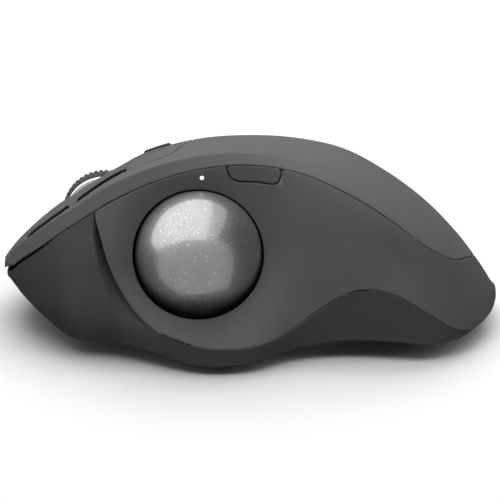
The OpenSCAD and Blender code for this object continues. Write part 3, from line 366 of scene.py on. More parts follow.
def shell(name, outer, holes, material, surface=PLAIN, gap=0.2, lip=0.3, wall=1.5, grid=None, rim=None):
    """A moulded shell: the skin inside the chart loop outer and outside the holes, with rolled edges and a wall.
    gap is the seam between neighbours, shared by both. lip is the edge radius. rim gives each hole its own
    (gap, lip, way), where way is the direction of the hole's wall, or None for square to the skin."""
    grid = grid or FINE
    loops, ways = [], []
    for k, loop in enumerate([outer] + list(holes)):
        loop_gap, loop_lip, way = (gap, lip, None) if k == 0 or not rim else rim[k - 1]
        ways.append(way)
        turn = area2(loop)
        if (k == 0) != (turn > 0):
            loop = loop[::-1]
        c = resample_space(loop, EDGE_STEP * max(1, FINE / NORMAL_GRID), surface)
        c = move_in(c, surface, loop_gap / 2 + loop_lip)
        loops.append((c, loop_lip))
    outlines = [c for c, _ in loops]
    lo, hi = outlines[0].min(0), outlines[0].max(0)
    xs = np.arange(lo[0], hi[0], grid * 1.15)
    v0, v1 = unchart_y(lo[1]), unchart_y(hi[1])
    cols = []
    for k in range(math.floor(v0), math.ceil(v1)):
        n = max(3, int(math.ceil(SPAN_MM[k % COLUMNS] / grid)))
        cols += [k + i / n for i in range(n)]
    cols.append(math.ceil(v1))
    ys = chart_y(np.array(cols))
    gx, gy = np.meshgrid(xs, ys, indexing="ij")
    pts = np.column_stack([gx.ravel(), gy.ravel()])
    keep = inside(pts, outlines)
    space = surface(pts)
    edge = np.vstack([surface(c) for c in outlines])
    tree = kdtree.KDTree(len(edge))
    for i, e in enumerate(edge):
        tree.insert(e, i)
    tree.balance()
    where = np.flatnonzero(keep)
    near = np.array([tree.find(space[i])[2] for i in where]) if len(where) else np.zeros(0)
    keep[where[near < 0.45 * grid]] = False
    index = -np.ones(len(pts), int)
    rim_n = sum(len(c) for c in outlines)
    index[keep] = rim_n + np.arange(keep.sum())
    index = index.reshape(gx.shape)
    edges, at = [], 0
    for c in outlines:
        edges += [(at + i, at + (i + 1) % len(c)) for i in range(len(c))]
        at += len(c)
    for j, col in enumerate(cols):
        if abs(col - round(col)) < 1e-9 and round(col) % COLUMNS in FOLDED:
            for i in range(len(xs) - 1):
                if index[i, j] >= 0 and index[i + 1, j] >= 0:
                    edges.append((index[i, j], index[i + 1, j]))
    flat = np.vstack(outlines + [pts[keep]])
    out = geometry.delaunay_2d_cdt([Vector(p) for p in flat], [(int(a), int(b)) for a, b in edges], [], 0, 1e-5)
    got = np.array([[p.x, p.y] for p in out[0]])
    tris = np.array([f for f in out[2]], int)
    origin = [list(o) for o in out[3]]
    mid = got[tris].mean(axis=1)
    tris = tris[inside(mid, outlines)]
    a, b, c3 = got[tris[:, 0]], got[tris[:, 1]], got[tris[:, 2]]
    flip = (b[:, 0] - a[:, 0]) * (c3[:, 1] - a[:, 1]) - (c3[:, 0] - a[:, 0]) * (b[:, 1] - a[:, 1]) < 0
    tris[flip] = tris[flip][:, ::-1]
    top = surface(got)
    # Normals of the outer face, averaged over its triangles
    normal = np.zeros_like(top)
    fn = np.cross(top[tris[:, 1]] - top[tris[:, 0]], top[tris[:, 2]] - top[tris[:, 0]])
    for k in range(3):
        np.add.at(normal, tris[:, k], fn)
    normal = unit(normal)
    thick = np.broadcast_to(wall(top) if callable(wall) else wall, (len(top),))
    inner = top - normal * thick[:, None]
    verts = [top, inner]
    faces = [tuple(t) for t in tris] + [(t[0] + len(top), t[2] + len(top), t[1] + len(top)) for t in tris]
    count = 2 * len(top)
    back = {}
    for i, o in enumerate(origin):
        for k in o:
            back[k] = i
    at = 0
    for (c, r), way in zip(loops, ways):
        ids = [back[at + i] for i in range(len(c))]
        p, bn, nn = frame_on(c, surface)
        nn = normal[ids]
        bn = unit(bn - nn * np.sum(bn * nn, axis=1, keepdims=True)) * np.linalg.norm(bn, axis=1, keepdims=True)
        rings = [np.array(ids)]
        w = thick[ids][:, None]
        for ang in (22.5, 45, 67.5, 90):
            s, q = math.sin(math.radians(ang)), 1 - math.cos(math.radians(ang))
            verts.append(p + bn * r * s - nn * r * q)
            rings.append(count + np.arange(len(c)))
            count += len(c)
        if way is not None:
            inner[ids] = top[ids] - way * w
            nn = np.broadcast_to(way, nn.shape)
            verts.append(p + bn * r - normal[ids] * r - nn * np.maximum(w - r, 0.05))
        else:
            verts.append(p + bn * r - nn * np.maximum(w, r + 0.05))
        rings.append(count + np.arange(len(c)))
        count += len(c)
        rings.append(np.array(ids) + len(top))
        n = len(c)
        for ra, rb in zip(rings[:-1], rings[1:]):
            for i in range(n):
                j = (i + 1) % n
                faces.append((ra[j], ra[i], rb[i], rb[j]))
        at += len(c)
    return mesh_object(name, np.vstack(verts), faces, material)


# ------------------------------------------------------------------ seams on the skin
def chart(x, v):
    x, v = np.broadcast_arrays(np.asarray(x, float), np.asarray(v, float))
    return np.column_stack([q_of(x).ravel() * CHART_X, chart_y(v).ravel()])


def column_line(v, x0, x1, step=1.0):
    q = np.linspace(q_of(x0), q_of(x1), max(2, int(abs(x1 - x0) / step)))
    return np.column_stack([q * CHART_X, np.full(len(q), chart_y(v))])


def column_at_y(q, y, v_lo, v_hi):
    """Column at which the section at q has the given y, between two columns."""
    vs = np.linspace(v_lo, v_hi, 400)
    out = []
    for one, target in zip(np.atleast_1d(q), np.broadcast_to(y, np.atleast_1d(q).shape)):
        ys = skin(one, vs)[:, 1]
        up = ys if ys[-1] > ys[0] else ys[::-1]
        vv = vs if ys[-1] > ys[0] else vs[::-1]
        out.append(np.interp(target, np.maximum.accumulate(up), vv))
    return np.array(out)


def y_line(y, x0, x1, v_lo, v_hi, turn=0, n=60):
    """Chart line along which the skin has the given y."""
    q = np.linspace(q_of(x0), q_of(x1), n)
    return np.column_stack([q * CHART_X, chart_y(column_at_y(q, y, v_lo, v_hi) + turn)])


def turned(c, turns):
    return c + [0, turns * GIRTH]


def soften(c, passes=3):
    """Smooths an open line and keeps its ends."""
    c = c.copy()
    for _ in range(passes):
        c[1:-1] = (c[:-2] + 2 * c[1:-1] + c[2:]) / 4
    return c


NOSE_X, TAIL_X = -HALF, HALF
TIP = CAP * CHART_X
REAR_X, REAR_LENGTH, REAR_LEFT, REAR_RIGHT = 44, 16.3, 29.3, 33
SPLIT_Y = -2.0
LIP_X = -64.4
KEY_REAR_X = -24
STRIP_LOW, STRIP_HIGH, STRIP_REAR_X = -1.5, 11.5, -15.5
FINGER_FRONT_X = -51.3
UNDER_TAIL_X = 61.0


def rail(x, j):
    return rails_at(np.atleast_1d(q_of(x)))[:, j]


def left_seam_y(x):
    return rail(x, RIDGE)[:, 0] + 0.6 + 4 * np.clip((np.atleast_1d(x) + 60) / 26, 0, 1)


def rear_curve(a0, a1):
    a = np.radians(np.linspace(a0, a1, 60))
    y = np.where(a < 0, -REAR_LEFT, REAR_RIGHT) * np.abs(np.sin(a)) ** 0.9
    return plan(np.column_stack([REAR_X + REAR_LENGTH * np.cos(a) ** 0.9, y]), x_lo=30)


APEX = -math.degrees(math.asin((-SPLIT_Y / REAR_LEFT) ** (1 / 0.9)))
seam_left = resample(np.vstack([column_line(BEVEL, NOSE_X, 41), rear_curve(-76, APEX)]), 0.8)
seam_left = soften(seam_left, 30)
seam_right = resample(np.vstack([rear_curve(APEX, 76), column_line(RIGHT_SEAM, 41, NOSE_X)]), 0.8)
seam_right = soften(seam_right, 30)


def part_of(c, x0, x1):
    """The stretch of a chart line between two places along the body."""
    lo, hi = sorted((q_of(x0) * CHART_X, q_of(x1) * CHART_X))
    return c[(c[:, 0] >= lo - 1e-6) & (c[:, 0] <= hi + 1e-6)]


THUMB_FRONT_X = -41.4
THUMB_EDGE = [(-41.2, 35.2), (-40.2, 32.4), (-37.4, 24.7), (-33.4, 17.8), (-29.1, 12.9), (-22.8, 9.5), (-15.5, 8.1),
              (-6.6, 7.4), (2.3, 7.5), (8, 8.4), (12.3, 10.2), (17.4, 13.5), (22.5, 16.6), (26.9, 18.5), (31.6, 19.1),
              (37.2, 18.2), (42.4, 15.9), (48.4, 12.2), (53.2, 8.3), (56.2, 6.5), (58.2, 5.7)]
thumb_edge = project(spline(THUMB_EDGE, 0.6), X, Z, (0, 0, 0), -0.05, 3)
thumb_edge = np.vstack([chart(THUMB_FRONT_X, BEVEL), thumb_edge])
under_left = chart([59.1, 60.3, 60.9, UNDER_TAIL_X], [0, -0.6, -1.0, -1.3])
split_under = y_line(SPLIT_Y, UNDER_TAIL_X, TAIL_X, -3, -1)
split_top = y_line(SPLIT_Y, 60.35, TAIL_X, 5, 7.5)
under_left = np.vstack([under_left, split_under[:1]])
finger_x = np.arange(FINGER_FRONT_X, 55, 0.8)
finger_edge = project(np.column_stack([finger_x, rail(finger_x, BULGE)[:, 1] - 1.5]), X, Z, (0, 0, 0), 9, 10.05)
finger_edge = np.vstack([chart(FINGER_FRONT_X, RIGHT_SEAM), finger_edge, chart([58.5, 60.2, 60.8], [10.0, 10.35, 10.7]),
                         turned(split_under[:1], 1)])

tail_a, tail_b = float(unchart_y(split_under[-1, 1])), float(unchart_y(split_top[-1, 1]))


def tip(line_end, side):
    """The point on the closing chord that goes with the end of a line."""
    return np.array([[-TIP if side < 0 else CHART_X + TIP, line_end[1]]])


# ------------------------------------------------------------------ outlines of the shells
seam_by_key = part_of(seam_left, THUMB_FRONT_X, TAIL_X)
precision_side = spline([(-6.7, 48.4), (-6.3, 46.6), (-5.7, 44.9), (-4.7, 43.7), (-3.2, 43.2), (1.5, 43.1),
                         (5.9, 42.85), (7.3, 43.4), (8.0, 45.0), (8.6, 48.4)], 0.4)
precision_line = project(precision_side, X, Z, (0, 0, 0), 2, 3.6)
precision_line = precision_line[precision_line[:, 1] < chart_y(BEVEL)]
key_x0, key_x1 = precision_line[0, 0], precision_line[-1, 0]
top_key = seam_left[(seam_left[:, 0] > key_x0) & (seam_left[:, 0] < key_x1)]
precision_loop = np.vstack([precision_line, chart(x_of(key_x1 / CHART_X), BEVEL), top_key[::-1],
                            chart(x_of(key_x0 / CHART_X), BEVEL)])
before = seam_by_key[seam_by_key[:, 0] < key_x0]
after = seam_by_key[seam_by_key[:, 0] > key_x1]
thumb_loop = np.vstack([thumb_edge, under_left, split_under, tip(split_under[-1], 1), tip(split_top[-1], 1),
                        split_top[::-1], after[::-1], precision_line[::-1], before[::-1]])
finger_top = part_of(seam_right, FINGER_FRONT_X, TAIL_X)[::-1]
finger_loop = np.vstack([finger_top, split_top, tip(split_top[-1], 1), tip(turned(split_under[-1:], 1)[0], 1),
                         turned(split_under[::-1], 1), finger_edge[::-1]])
strip_low = y_line(STRIP_LOW, NOSE_X, STRIP_REAR_X, 4, 7)
strip_high_x = float(x_of(np.interp(STRIP_HIGH, rail(np.linspace(-66, -60, 200), RIGHT_SEAM)[:, 0],
                                    q_of(np.linspace(-66, -60, 200)))))
strip_high = y_line(STRIP_HIGH, strip_high_x, STRIP_REAR_X, 5, 8)
strip_rear = plan(np.column_stack([np.full(16, STRIP_REAR_X), np.linspace(STRIP_LOW, STRIP_HIGH, 16)]))
key_seam_x = np.linspace(LIP_X, KEY_REAR_X, 120)
key_seam = plan(np.column_stack([key_seam_x, left_seam_y(key_seam_x)]), v_lo=3.2, v_hi=6)
left_rear = plan(spline([(KEY_REAR_X, float(left_seam_y(KEY_REAR_X)[0])), (-20.8, -11.3), (-18, -6),
                         (STRIP_REAR_X, STRIP_LOW)], 0.6))
right_rear = plan(spline([(STRIP_REAR_X, STRIP_HIGH), (-18, 16.5), (-22.5, 25.5), (-24.8, 33.5)], 0.6))
right_rear = right_rear[right_rear[:, 1] < chart_y(RIGHT_SEAM)]
right_rear_x = float(x_of(right_rear[-1, 0] / CHART_X))
seam_nose = part_of(seam_left, NOSE_X, LIP_X)
strip_loop = np.vstack([tip(strip_low[0], -1), strip_low, strip_rear, strip_high[::-1],
                        part_of(seam_right, strip_high_x, NOSE_X), tip(seam_right[-1], -1)])
SIDE_KEYS = {"back": (-59.5, -49.0), "forward": (-45.8, -33.6)}
SIDE_NEAR, SIDE_FAR, SIDE_GAP, SIDE_RAISE = 0.75, 2.6, 0.3, 0.7
# Each side key's stem is near-black plastic under its cap: painted shade for the dark slit below the cap
SHADE_STEM_RAISE, SHADE_STEM_INSET = 0.3, 0.35


def notched(x0, x1):
    """Stretch of the left key's seam that goes round a side key."""
    x = np.linspace(x0 - SIDE_GAP, x1 + SIDE_GAP, 40)
    y = left_seam_y(x) + SIDE_FAR + SIDE_GAP
    y[0], y[-1] = y[0] - 0.4, y[-1] - 0.4
    foot = left_seam_y(x[[0, -1]])
    return np.vstack([[x[0], foot[0]], np.column_stack([x, y]), [x[-1], foot[1]]])


def plain_seam(x0, x1):
    x = np.linspace(x0, x1, max(4, int((x1 - x0) / 0.35)))
    return np.column_stack([x, left_seam_y(x)])


(back_x0, back_x1), (forward_x0, forward_x1) = SIDE_KEYS.values()
key_side = plan(np.vstack([plain_seam(LIP_X, back_x0 - SIDE_GAP)[:-1], notched(back_x0, back_x1),
                           plain_seam(back_x1 + SIDE_GAP, forward_x0 - SIDE_GAP)[1:-1],
                           notched(forward_x0, forward_x1),
                           plain_seam(forward_x1 + SIDE_GAP, KEY_REAR_X)[1:]]), v_lo=3.2, v_hi=6)
left_loop = np.vstack([tip(seam_nose[0], -1), seam_nose, chart(LIP_X, BEVEL), key_side, left_rear, strip_low[::-1],
                       tip(strip_low[0], -1)])
right_loop = np.vstack([strip_high, right_rear, part_of(seam_right, right_rear_x, strip_high_x)])
palm_loop = np.vstack([chart(LIP_X, BEVEL), part_of(seam_left, LIP_X, TAIL_X),
                       part_of(seam_right, TAIL_X, right_rear_x), right_rear[::-1], strip_rear[::-1],
                       left_rear[::-1], key_seam[::-1]])
nose_left = part_of(seam_left, NOSE_X, THUMB_FRONT_X)
housing_loop = np.vstack([tip(turned(seam_right[-1:], -1)[0], -1),
                          turned(part_of(seam_right, NOSE_X, FINGER_FRONT_X)[::-1], -1), turned(finger_edge, -1),
                          under_left[::-1], thumb_edge[::-1], nose_left[::-1], tip(nose_left[0], -1)])

CASE_FROM, CASE_TO, CASE_GAP = -45, 51, 0.15
case_x = np.linspace(CASE_FROM - CASE_GAP, CASE_TO + CASE_GAP, 80)
p10, p11, p12 = (rail(case_x, j)[:, 0] for j in (10, 11, 12))
case_left = chart(case_x, -1 - (0.8 - CASE_GAP) / (p11 - p12))
case_right = chart(case_x, -3 + (3 - CASE_GAP) / (p10 - p11))
case_loop = np.vstack([case_right, case_left[::-1]])

BALL = np.array([-13.8, -25.5, 25])
LEAN = math.radians(22)
BALL_R = 17.0
MOUTH_R = 17.35
ball_up = np.array([0, math.sin(LEAN), math.cos(LEAN)])
ball_out = np.array([0, -math.cos(LEAN), math.sin(LEAN)])
turn = np.radians(np.arange(0, 360, 2.5))
ring = np.column_stack([np.cos(turn), np.sin(turn)])
mouth = project(ring * MOUTH_R, X, ball_up, BALL, 0.3, 3, x_lo=-45, x_hi=20)
LIGHT = np.array([-12.85, -18.9, 44.35])
LIGHT_LEAN = math.radians(21)
LIGHT_HOLE_R = 0.55
light_up = np.array([0, math.sin(LIGHT_LEAN), math.cos(LIGHT_LEAN)])
light_out = np.array([0, -math.cos(LIGHT_LEAN), math.sin(LIGHT_LEAN)])
light_hole = project(ring[::3] * LIGHT_HOLE_R, X, light_up, LIGHT, 1.5, 3, x_lo=-20, x_hi=-5)


def rounded_box(x0, y0, x1, y1, r, n=8):
    a = np.radians(np.linspace(0, 90, n))
    out = []
    for cx, cy, s in ((x1 - r, y1 - r, 0), (x0 + r, y1 - r, 1), (x0 + r, y0 + r, 2), (x1 - r, y0 + r, 3)):
        b = a + s * math.pi / 2
        out.append(np.column_stack([cx + r * np.cos(b), cy + r * np.sin(b)]))
    return resample(np.vstack(out), 0.4, closed=True)


WINDOW, WINDOW_R = (-52.5, 0.2, -33.0, 9.8), 2.0
MODE_BOX, MODE_R, MODE_GAP = (-28.5, 2.0, -21.3, 8.0), 1.2, 0.3
PORT_BOX, PORT_R = (-65.3, -5.2, -61.4, 3.2), 0.8
window = plan(rounded_box(*WINDOW, WINDOW_R), v_lo=4, v_hi=8.4)
mode_loop = plan(rounded_box(*MODE_BOX, MODE_R), v_lo=4, v_hi=8.4)
mode_room = np.array(MODE_BOX) + np.array([-1, -1, 1, 1]) * MODE_GAP
mode_hole = plan(rounded_box(*mode_room, MODE_R + MODE_GAP), v_lo=4, v_hi=8.4)
side_loops, shade_stem_loops = {}, {}
for side, (x0, x1) in SIDE_KEYS.items():
    for store, inset in ((side_loops, 0.0), (shade_stem_loops, SHADE_STEM_INSET)):
        x = np.linspace(x0 + SIDE_GAP + inset, x1 - SIDE_GAP - inset, 40)
        near, far = left_seam_y(x) + SIDE_NEAR + inset, left_seam_y(x) + SIDE_FAR - inset
        # Corners cut back over two points
        for k, cut in ((0, 0.55), (1, 0.2), (-1, 0.55), (-2, 0.2)):
            near[k], far[k] = near[k] + cut, far[k] - cut
        store[side] = plan(np.vstack([np.column_stack([x, near]), np.column_stack([x, far])[::-1]]), v_lo=3.2, v_hi=6)

# Charging socket's opening, in the sloping underside of the nose
port_hole = project(rounded_box(*PORT_BOX, PORT_R), X, Y, (0, 0, 0), -2.99, 0, x_hi=-58)


# ------------------------------------------------------------------ materials
def node(tree, kind, **values):
    n = tree.nodes.new(kind)
    for key, value in values.items():
        setattr(n, key, value)
    return n


class Paint:
    """A node material on the object's own coordinates, in metres."""

    def __init__(self, name):
        self.material = bpy.data.materials.new(name)
        self.material.use_nodes = True
        self.tree = self.material.node_tree
        self.shader = self.tree.nodes["Principled BSDF"]
        self.place = node(self.tree, "ShaderNodeTexCoord").outputs["Object"]

    def link(self, a, b):
        self.tree.links.new(a, b)

    def set(self, **values):
        for key, value in values.items():
            self.shader.inputs[key.replace("_", " ")].default_value = value

    def stretched(self, scale):
        n = node(self.tree, "ShaderNodeMapping")
        n.inputs["Scale"].default_value = scale
        self.link(self.place, n.inputs["Vector"])
        return n.outputs["Vector"]

    def noise(self, size, detail=2.0, rough=0.5, stretch=None):
        """Noise whose features are about size mm."""
        n = node(self.tree, "ShaderNodeTexNoise")
        n.inputs["Scale"].default_value = 1000.0 / size
        n.inputs["Detail"].default_value = detail
        n.inputs["Roughness"].default_value = rough
        self.link(self.stretched(stretch) if stretch else self.place, n.inputs["Vector"])
        return n.outputs["Fac"]

    def cells(self, size, feature="F1"):
        n = node(self.tree, "ShaderNodeTexVoronoi", feature=feature)
        n.inputs["Scale"].default_value = 1000.0 / size
        self.link(self.place, n.inputs["Vector"])
        return n

    def spread(self, value, lo, hi, from_lo=0.3, from_hi=0.7):
        n = node(self.tree, "ShaderNodeMapRange")
        for key, v in (("From Min", from_lo), ("From Max", from_hi), ("To Min", lo), ("To Max", hi)):
            n.inputs[key].default_value = v
        self.link(value, n.inputs["Value"])
        return n.outputs["Result"]

    def ramp(self, value, stops):
        n = node(self.tree, "ShaderNodeValToRGB")
        while len(n.color_ramp.elements) < len(stops):
            n.color_ramp.elements.new(0.5)
        for e, (at, colour) in zip(n.color_ramp.elements, stops):
            e.position = at
            e.color = (*colour, 1)
        self.link(value, n.inputs["Fac"])
        return n.outputs["Color"]

    def mix(self, factor, a, b):
        n = node(self.tree, "ShaderNodeMix", data_type="RGBA")
        for socket, v in ((n.inputs["Factor"], factor), (n.inputs["A"], a), (n.inputs["B"], b)):
            if hasattr(v, "links"):
                self.link(v, socket)
            elif isinstance(v, tuple):
                socket.default_value = (*v, 1)
            else:
                socket.default_value = v
        return n.outputs["Result"]

    def bump(self, height, depth, strength=1.0, under=None):
        """Bump of depth mm."""
        n = node(self.tree, "ShaderNodeBump")
        n.inputs["Strength"].default_value = strength
        n.inputs["Distance"].default_value = depth * MM
        self.link(height, n.inputs["Height"])
        if under:
            self.link(under, n.inputs["Normal"])
        return n.outputs["Normal"]

    def finish(self, colour, rough, normal=None):
        self.link(colour, self.shader.inputs["Base Color"])
        self.link(rough, self.shader.inputs["Roughness"])
        if normal:
            self.link(normal, self.shader.inputs["Normal"])
        return self.material


def shade(colour, f):
    return tuple(min(1.0, c * f) for c in colour)


def moulded(name, colour, rough, grain=0.22, depth=0.012, spread=0.06, edge=1.0, **values):
    """Moulded plastic or soft-touch coat: fine spark-eroded grain, faint flow marks, handled patches, and edges
    lightened by a painted highlight that also stands for a little wear; edge sets how strongly."""
    m = Paint(name)
    broad = m.noise(38, 3)
    patches = m.noise(9, 4, 0.6)
    fine = m.noise(grain, 2, 0.55)
    base = m.ramp(broad, [(0.25, shade(colour, 0.93)), (0.75, shade(colour, 1.07))])
    base = m.mix(m.spread(patches, 0.0, 0.35), base, shade(colour, 1.05))
    base = m.mix(m.spread(fine, 0.0, 0.5, 0.35, 0.65), base, shade(colour, 0.88))
    # Painted highlight: where the mesh is pointy, along ridges and rolled rims, the colour is lightened up to twice,
    # partly standing for wear
    worn_and_highlit_edges = node(m.tree, "ShaderNodeNewGeometry").outputs["Pointiness"]
    base = m.mix(m.spread(worn_and_highlit_edges, 0.0, 0.7 * edge, 0.515, 0.58), base, shade(colour, 2.0))
    r = m.spread(patches, rough - spread, rough + spread, 0.35, 0.65)
    m.set(Specular_IOR_Level=0.4)
    m.set(**values)
    return m.finish(base, r, m.bump(fine, depth, 1.0, m.bump(patches, 0.02, 0.5)))


def metal(name, colour, rough, stretch=(1, 1, 1), grain=0.35, depth=0.004, spread=0.07):
    """Metal with drawn or tumbled grain, faint tarnish and fine scratches."""
    m = Paint(name)
    grain_noise = m.noise(grain, 4, 0.65, stretch)
    broad = m.noise(11, 3)
    base = m.ramp(broad, [(0.3, shade(colour, 0.9)), (0.7, shade(colour, 1.05))])
    base = m.mix(m.spread(grain_noise, 0.0, 0.4), base, shade(colour, 0.8))
    m.set(Metallic=1.0)
    return m.finish(base, m.spread(grain_noise, rough - spread, rough + spread), m.bump(grain_noise, depth, 1.0))


def board(name, colour, gold):
    """Circuit board: solder mask over a lattice of tracks, with a few plated dots."""
    m = Paint(name)
    tracks = m.cells(2.4, "DISTANCE_TO_EDGE").outputs["Distance"]
    pads = m.cells(3.1).outputs["Distance"]
    weave = m.noise(0.3, 2)
    base = m.mix(m.spread(tracks, 1.0, 0.0, 0.02, 0.06), shade(colour, 0.85), shade(colour, 1.5))
    base = m.mix(m.spread(pads, 1.0, 0.0, 0.1, 0.14), base, gold)
    return m.finish(base, m.spread(weave, 0.3, 0.45), m.bump(tracks, 0.03, 0.5))


def pearl(name, colour):
    """Polished resin with fine bright flakes under a clear coat."""
    m = Paint(name)
    cloud = m.noise(6, 3)
    mist = m.noise(0.7, 3, 0.7)
    base = m.ramp(cloud, [(0.3, shade(colour, 0.92)), (0.7, shade(colour, 1.08))])
    base = m.mix(m.spread(mist, 0.0, 0.45), base, shade(colour, 1.22))
    small, large = m.cells(0.55), m.cells(1.15)
    dust = m.spread(small.outputs["Distance"], 1.0, 0.0, 0.14, 0.22)
    flake = m.spread(large.outputs["Distance"], 1.0, 0.0, 0.12, 0.17)
    for spots, where in ((dust, m.noise(5.5, 2)), (flake, m.noise(9, 2))):
        shown = node(m.tree, "ShaderNodeMath", operation="MULTIPLY")
        m.link(spots, shown.inputs[0])
        m.link(m.spread(where, 0.0, 1.0, 0.42, 0.56), shown.inputs[1])
        base = m.mix(shown.outputs[0], base, (0.95, 0.95, 0.95))
    m.set(Metallic=0.9, Coat_Weight=1.0, Coat_Roughness=0.06, Coat_IOR=1.9, Specular_IOR_Level=0.3)
    return m.finish(base, m.spread(mist, 0.34, 0.44))


def clear(name, colour, glow=0.0):
    m = Paint(name)
    haze = m.noise(1.2, 3)
    base = m.ramp(haze, [(0.3, shade(colour, 0.9)), (0.7, colour)])
    m.set(IOR=1.5)
    if glow:
        m.set(Emission_Strength=glow)
        m.link(m.ramp(haze, [(0.3, shade(colour, 0.95)), (0.7, colour)]), m.shader.inputs["Emission Color"])
    else:
        m.set(Transmission_Weight=0.85)
    return m.finish(base, m.spread(haze, 0.06, 0.14))


MATERIALS = {
    "palm_rubber": moulded("soft_touch_graphite", (0.096, 0.096, 0.102), 0.60, 0.18, 0.008),
    "key_plastic": moulded("key_graphite", (0.1, 0.1, 0.106), 0.50, 0.2, 0.01),
    "thumb_plastic": moulded("thumb_graphite", (0.072, 0.072, 0.078), 0.52, 0.24, 0.012),
    "side_key_plastic": moulded("side_key_graphite", (0.12, 0.12, 0.127), 0.42, 0.24, 0.008),
    "strip_plastic": moulded("strip_black", (0.022, 0.022, 0.024), 0.34, 0.3, 0.006),
    "lower_plastic": moulded("lower_black", (0.034, 0.034, 0.037), 0.56, 0.26, 0.014),
    "inner_plastic": moulded("inner_black", (0.018, 0.018, 0.019), 0.55, 0.4, 0.014, edge=0.4),
    "chip_black": moulded("chip_black", (0.02, 0.02, 0.022), 0.48, 0.3, 0.01, edge=0.4),
    "wheel_rubber": moulded("wheel_rubber", (0.075, 0.075, 0.078), 0.45, 0.3, 0.012, edge=0.6),
    "sole_rubber": moulded("sole_rubber", (0.035, 0.035, 0.036), 0.8, 0.5, 0.03, edge=0.4),
    "actuator_red": moulded("actuator_red", (0.5, 0.06, 0.045), 0.35, 0.4, 0.006, edge=0.3),
    "slider_green": moulded("slider_green", (0.05, 0.22, 0.1), 0.45, 0.3, 0.01, edge=0.4),
    "battery_foil": metal("battery_foil", (0.5, 0.52, 0.55), 0.35, grain=1.6, depth=0.03),
    "plate_steel": metal("plate_steel", (0.55, 0.56, 0.58), 0.36, (6, 60, 60), 6.0),
    "bright_steel": metal("bright_steel", (0.72, 0.73, 0.75), 0.24, (1, 12, 12), 2.0),
    "screw_steel": metal("screw_black", (0.14, 0.14, 0.15), 0.38),
    "magnet_nickel": metal("magnet_nickel", (0.66, 0.66, 0.68), 0.28),
    "can_tin": metal("can_tin", (0.58, 0.59, 0.6), 0.32),
    "wheel_chrome": metal("wheel_chrome", (0.86, 0.86, 0.88), 0.13, grain=0.8, depth=0.001, spread=0.04),
    "bearing_ceramic": moulded("bearing_ceramic", (0.8, 0.78, 0.74), 0.2, 0.4, 0.002, edge=0.2),
    "board_green": board("board_green", (0.02, 0.13, 0.06), (0.75, 0.55, 0.25)),
    "ball_resin": pearl("ball_pearl_grey", (0.38, 0.38, 0.395)),
    "light_clear": clear("status_light", (0.95, 0.97, 0.96), 1.2),
    "lens_clear": clear("sensor_lens", (0.85, 0.9, 0.92)),
}
slots_of = {part["node"]: part["material_slot"] for part in frame["record"]["subparts"]}
for name, cad in frame["nodes"].items():
    if not cad.material_slots:
        cad.data.materials.append(None)
    for slot in cad.material_slots:
        slot.material = MATERIALS[slots_of[name]]


# ------------------------------------------------------------------ the pieces
def fit(piece, body, slot, *nodes):
    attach(piece, body)
    if nodes:
        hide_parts(*nodes)
    return piece


def lifted(amount):
    """The skin moved outwards by amount mm."""
    class Lifted(Surface):
        def __call__(self, c):
            return PLAIN(c) + PLAIN.normal(c) * amount
    return Lifted()


BLADE = np.array([(9.5, -36.2), (17.6, -37.9), (23.8, -40.1), (31.8, -41.6), (36.6, -41.8)])
FRONT_EDGE = np.array(THUMB_EDGE[:7])[::-1]
TROUGH = 2.6
NOSE_BACK, NOSE_DROP = 0.7, 1.0


def trough(p):
    """Hollow in the lower housing, just ahead of the thumb panel's front edge."""
    x, y, z = p.T
    blade, edge = np.interp(z, *BLADE.T), np.interp(z, FRONT_EDGE[:, 1], FRONT_EDGE[:, 0])
    across = np.sin(np.clip((x - blade + 0.3) / (edge - blade + 0.3), 0, 1) * math.pi / 2) ** 1.2
    along = ramp(4, 15, z) * (1 - ramp(29, 36.6, z)) * (1 - ramp(-28, -20, x)) * (1 - ramp(-12, -4, y))
    q = p.copy()
    q[:, 1] += TROUGH * across * along
    q[:, 0] += NOSE_BACK * (1 - ramp(-HALF, -HALF + 5, x))
    q[:, 2] -= NOSE_DROP * (1 - ramp(-58, -50, x)) * ramp(9, 13, z)
    return q


def thin_ends(base, tail=0.5, nose=0.9):
    def wall(top):
        x = top[:, 0]
        w = base + (tail - base) * ramp(48, 60, x)
        return w + (nose - base) * (1 - ramp(-64, -58, x))
    return wall


def thumb_wall(top):
    front = 1 - ramp(-34, -26, top[:, 0])
    return 1.5 + 2.6 * front * ramp(6, 12, top[:, 2]) - 1.05 * ramp(48, 60, top[:, 0])


def dished(p):
    """Shallow dish in the keys and the strip round the wheel."""
    x, y = p[:, 0], p[:, 1]
    q = p.copy()
    q[:, 2] -= DISH * np.exp(-((x - WHEEL[0] + 1.8) / 9) ** 4 - ((y - 0.5) / 13) ** 4)
    return q


WHEEL = np.array([-39.2, 5.0, 26.5])
DISH = 0.8
KEYS = Surface(change=dished)
def cover(name, slot, body, stands_for, loop, holes=(), surface=PLAIN, **values):
    """A shell in the finish of a slot, riding on a body, in place of CAD nodes."""
    return fit(shell(name, loop, holes, MATERIALS[slot], surface, **values), body, slot, *stands_for)


key = dict(surface=KEYS, gap=0.5, wall=thin_ends(0.7, nose=0.5))
cover("palm_shell", "palm_rubber", "housing", ["palm_cover"], palm_loop, wall=thin_ends(1.5))
cover("left_key_shell", "key_plastic", "left_key", ["left_button"], left_loop, **key)
cover("right_key_shell", "key_plastic", "right_key", ["right_button"], right_loop, **key)
cover("strip_shell", "strip_plastic", "housing", ["centre_strip"], strip_loop, [window, mode_hole], KEYS,
      wall=thin_ends(1.5), rim=[(0.0, 0.6, None), (0.0, 0.3, None)])
cover("thumb_shell", "thumb_plastic", "housing", ["thumb_panel"], thumb_loop, [mouth, light_hole],
      Surface(((3, 8), (tail_a, tail_b))), wall=thumb_wall, lip=0.4,
      rim=[(0.0, 0.15, ball_out), (0.0, 0.06, light_out)])
cover("finger_shell", "palm_rubber", "housing", ["finger_panel"], finger_loop, [],
      Surface(((3, 8), (tail_b, tail_a + COLUMNS))), wall=thin_ends(1.5))
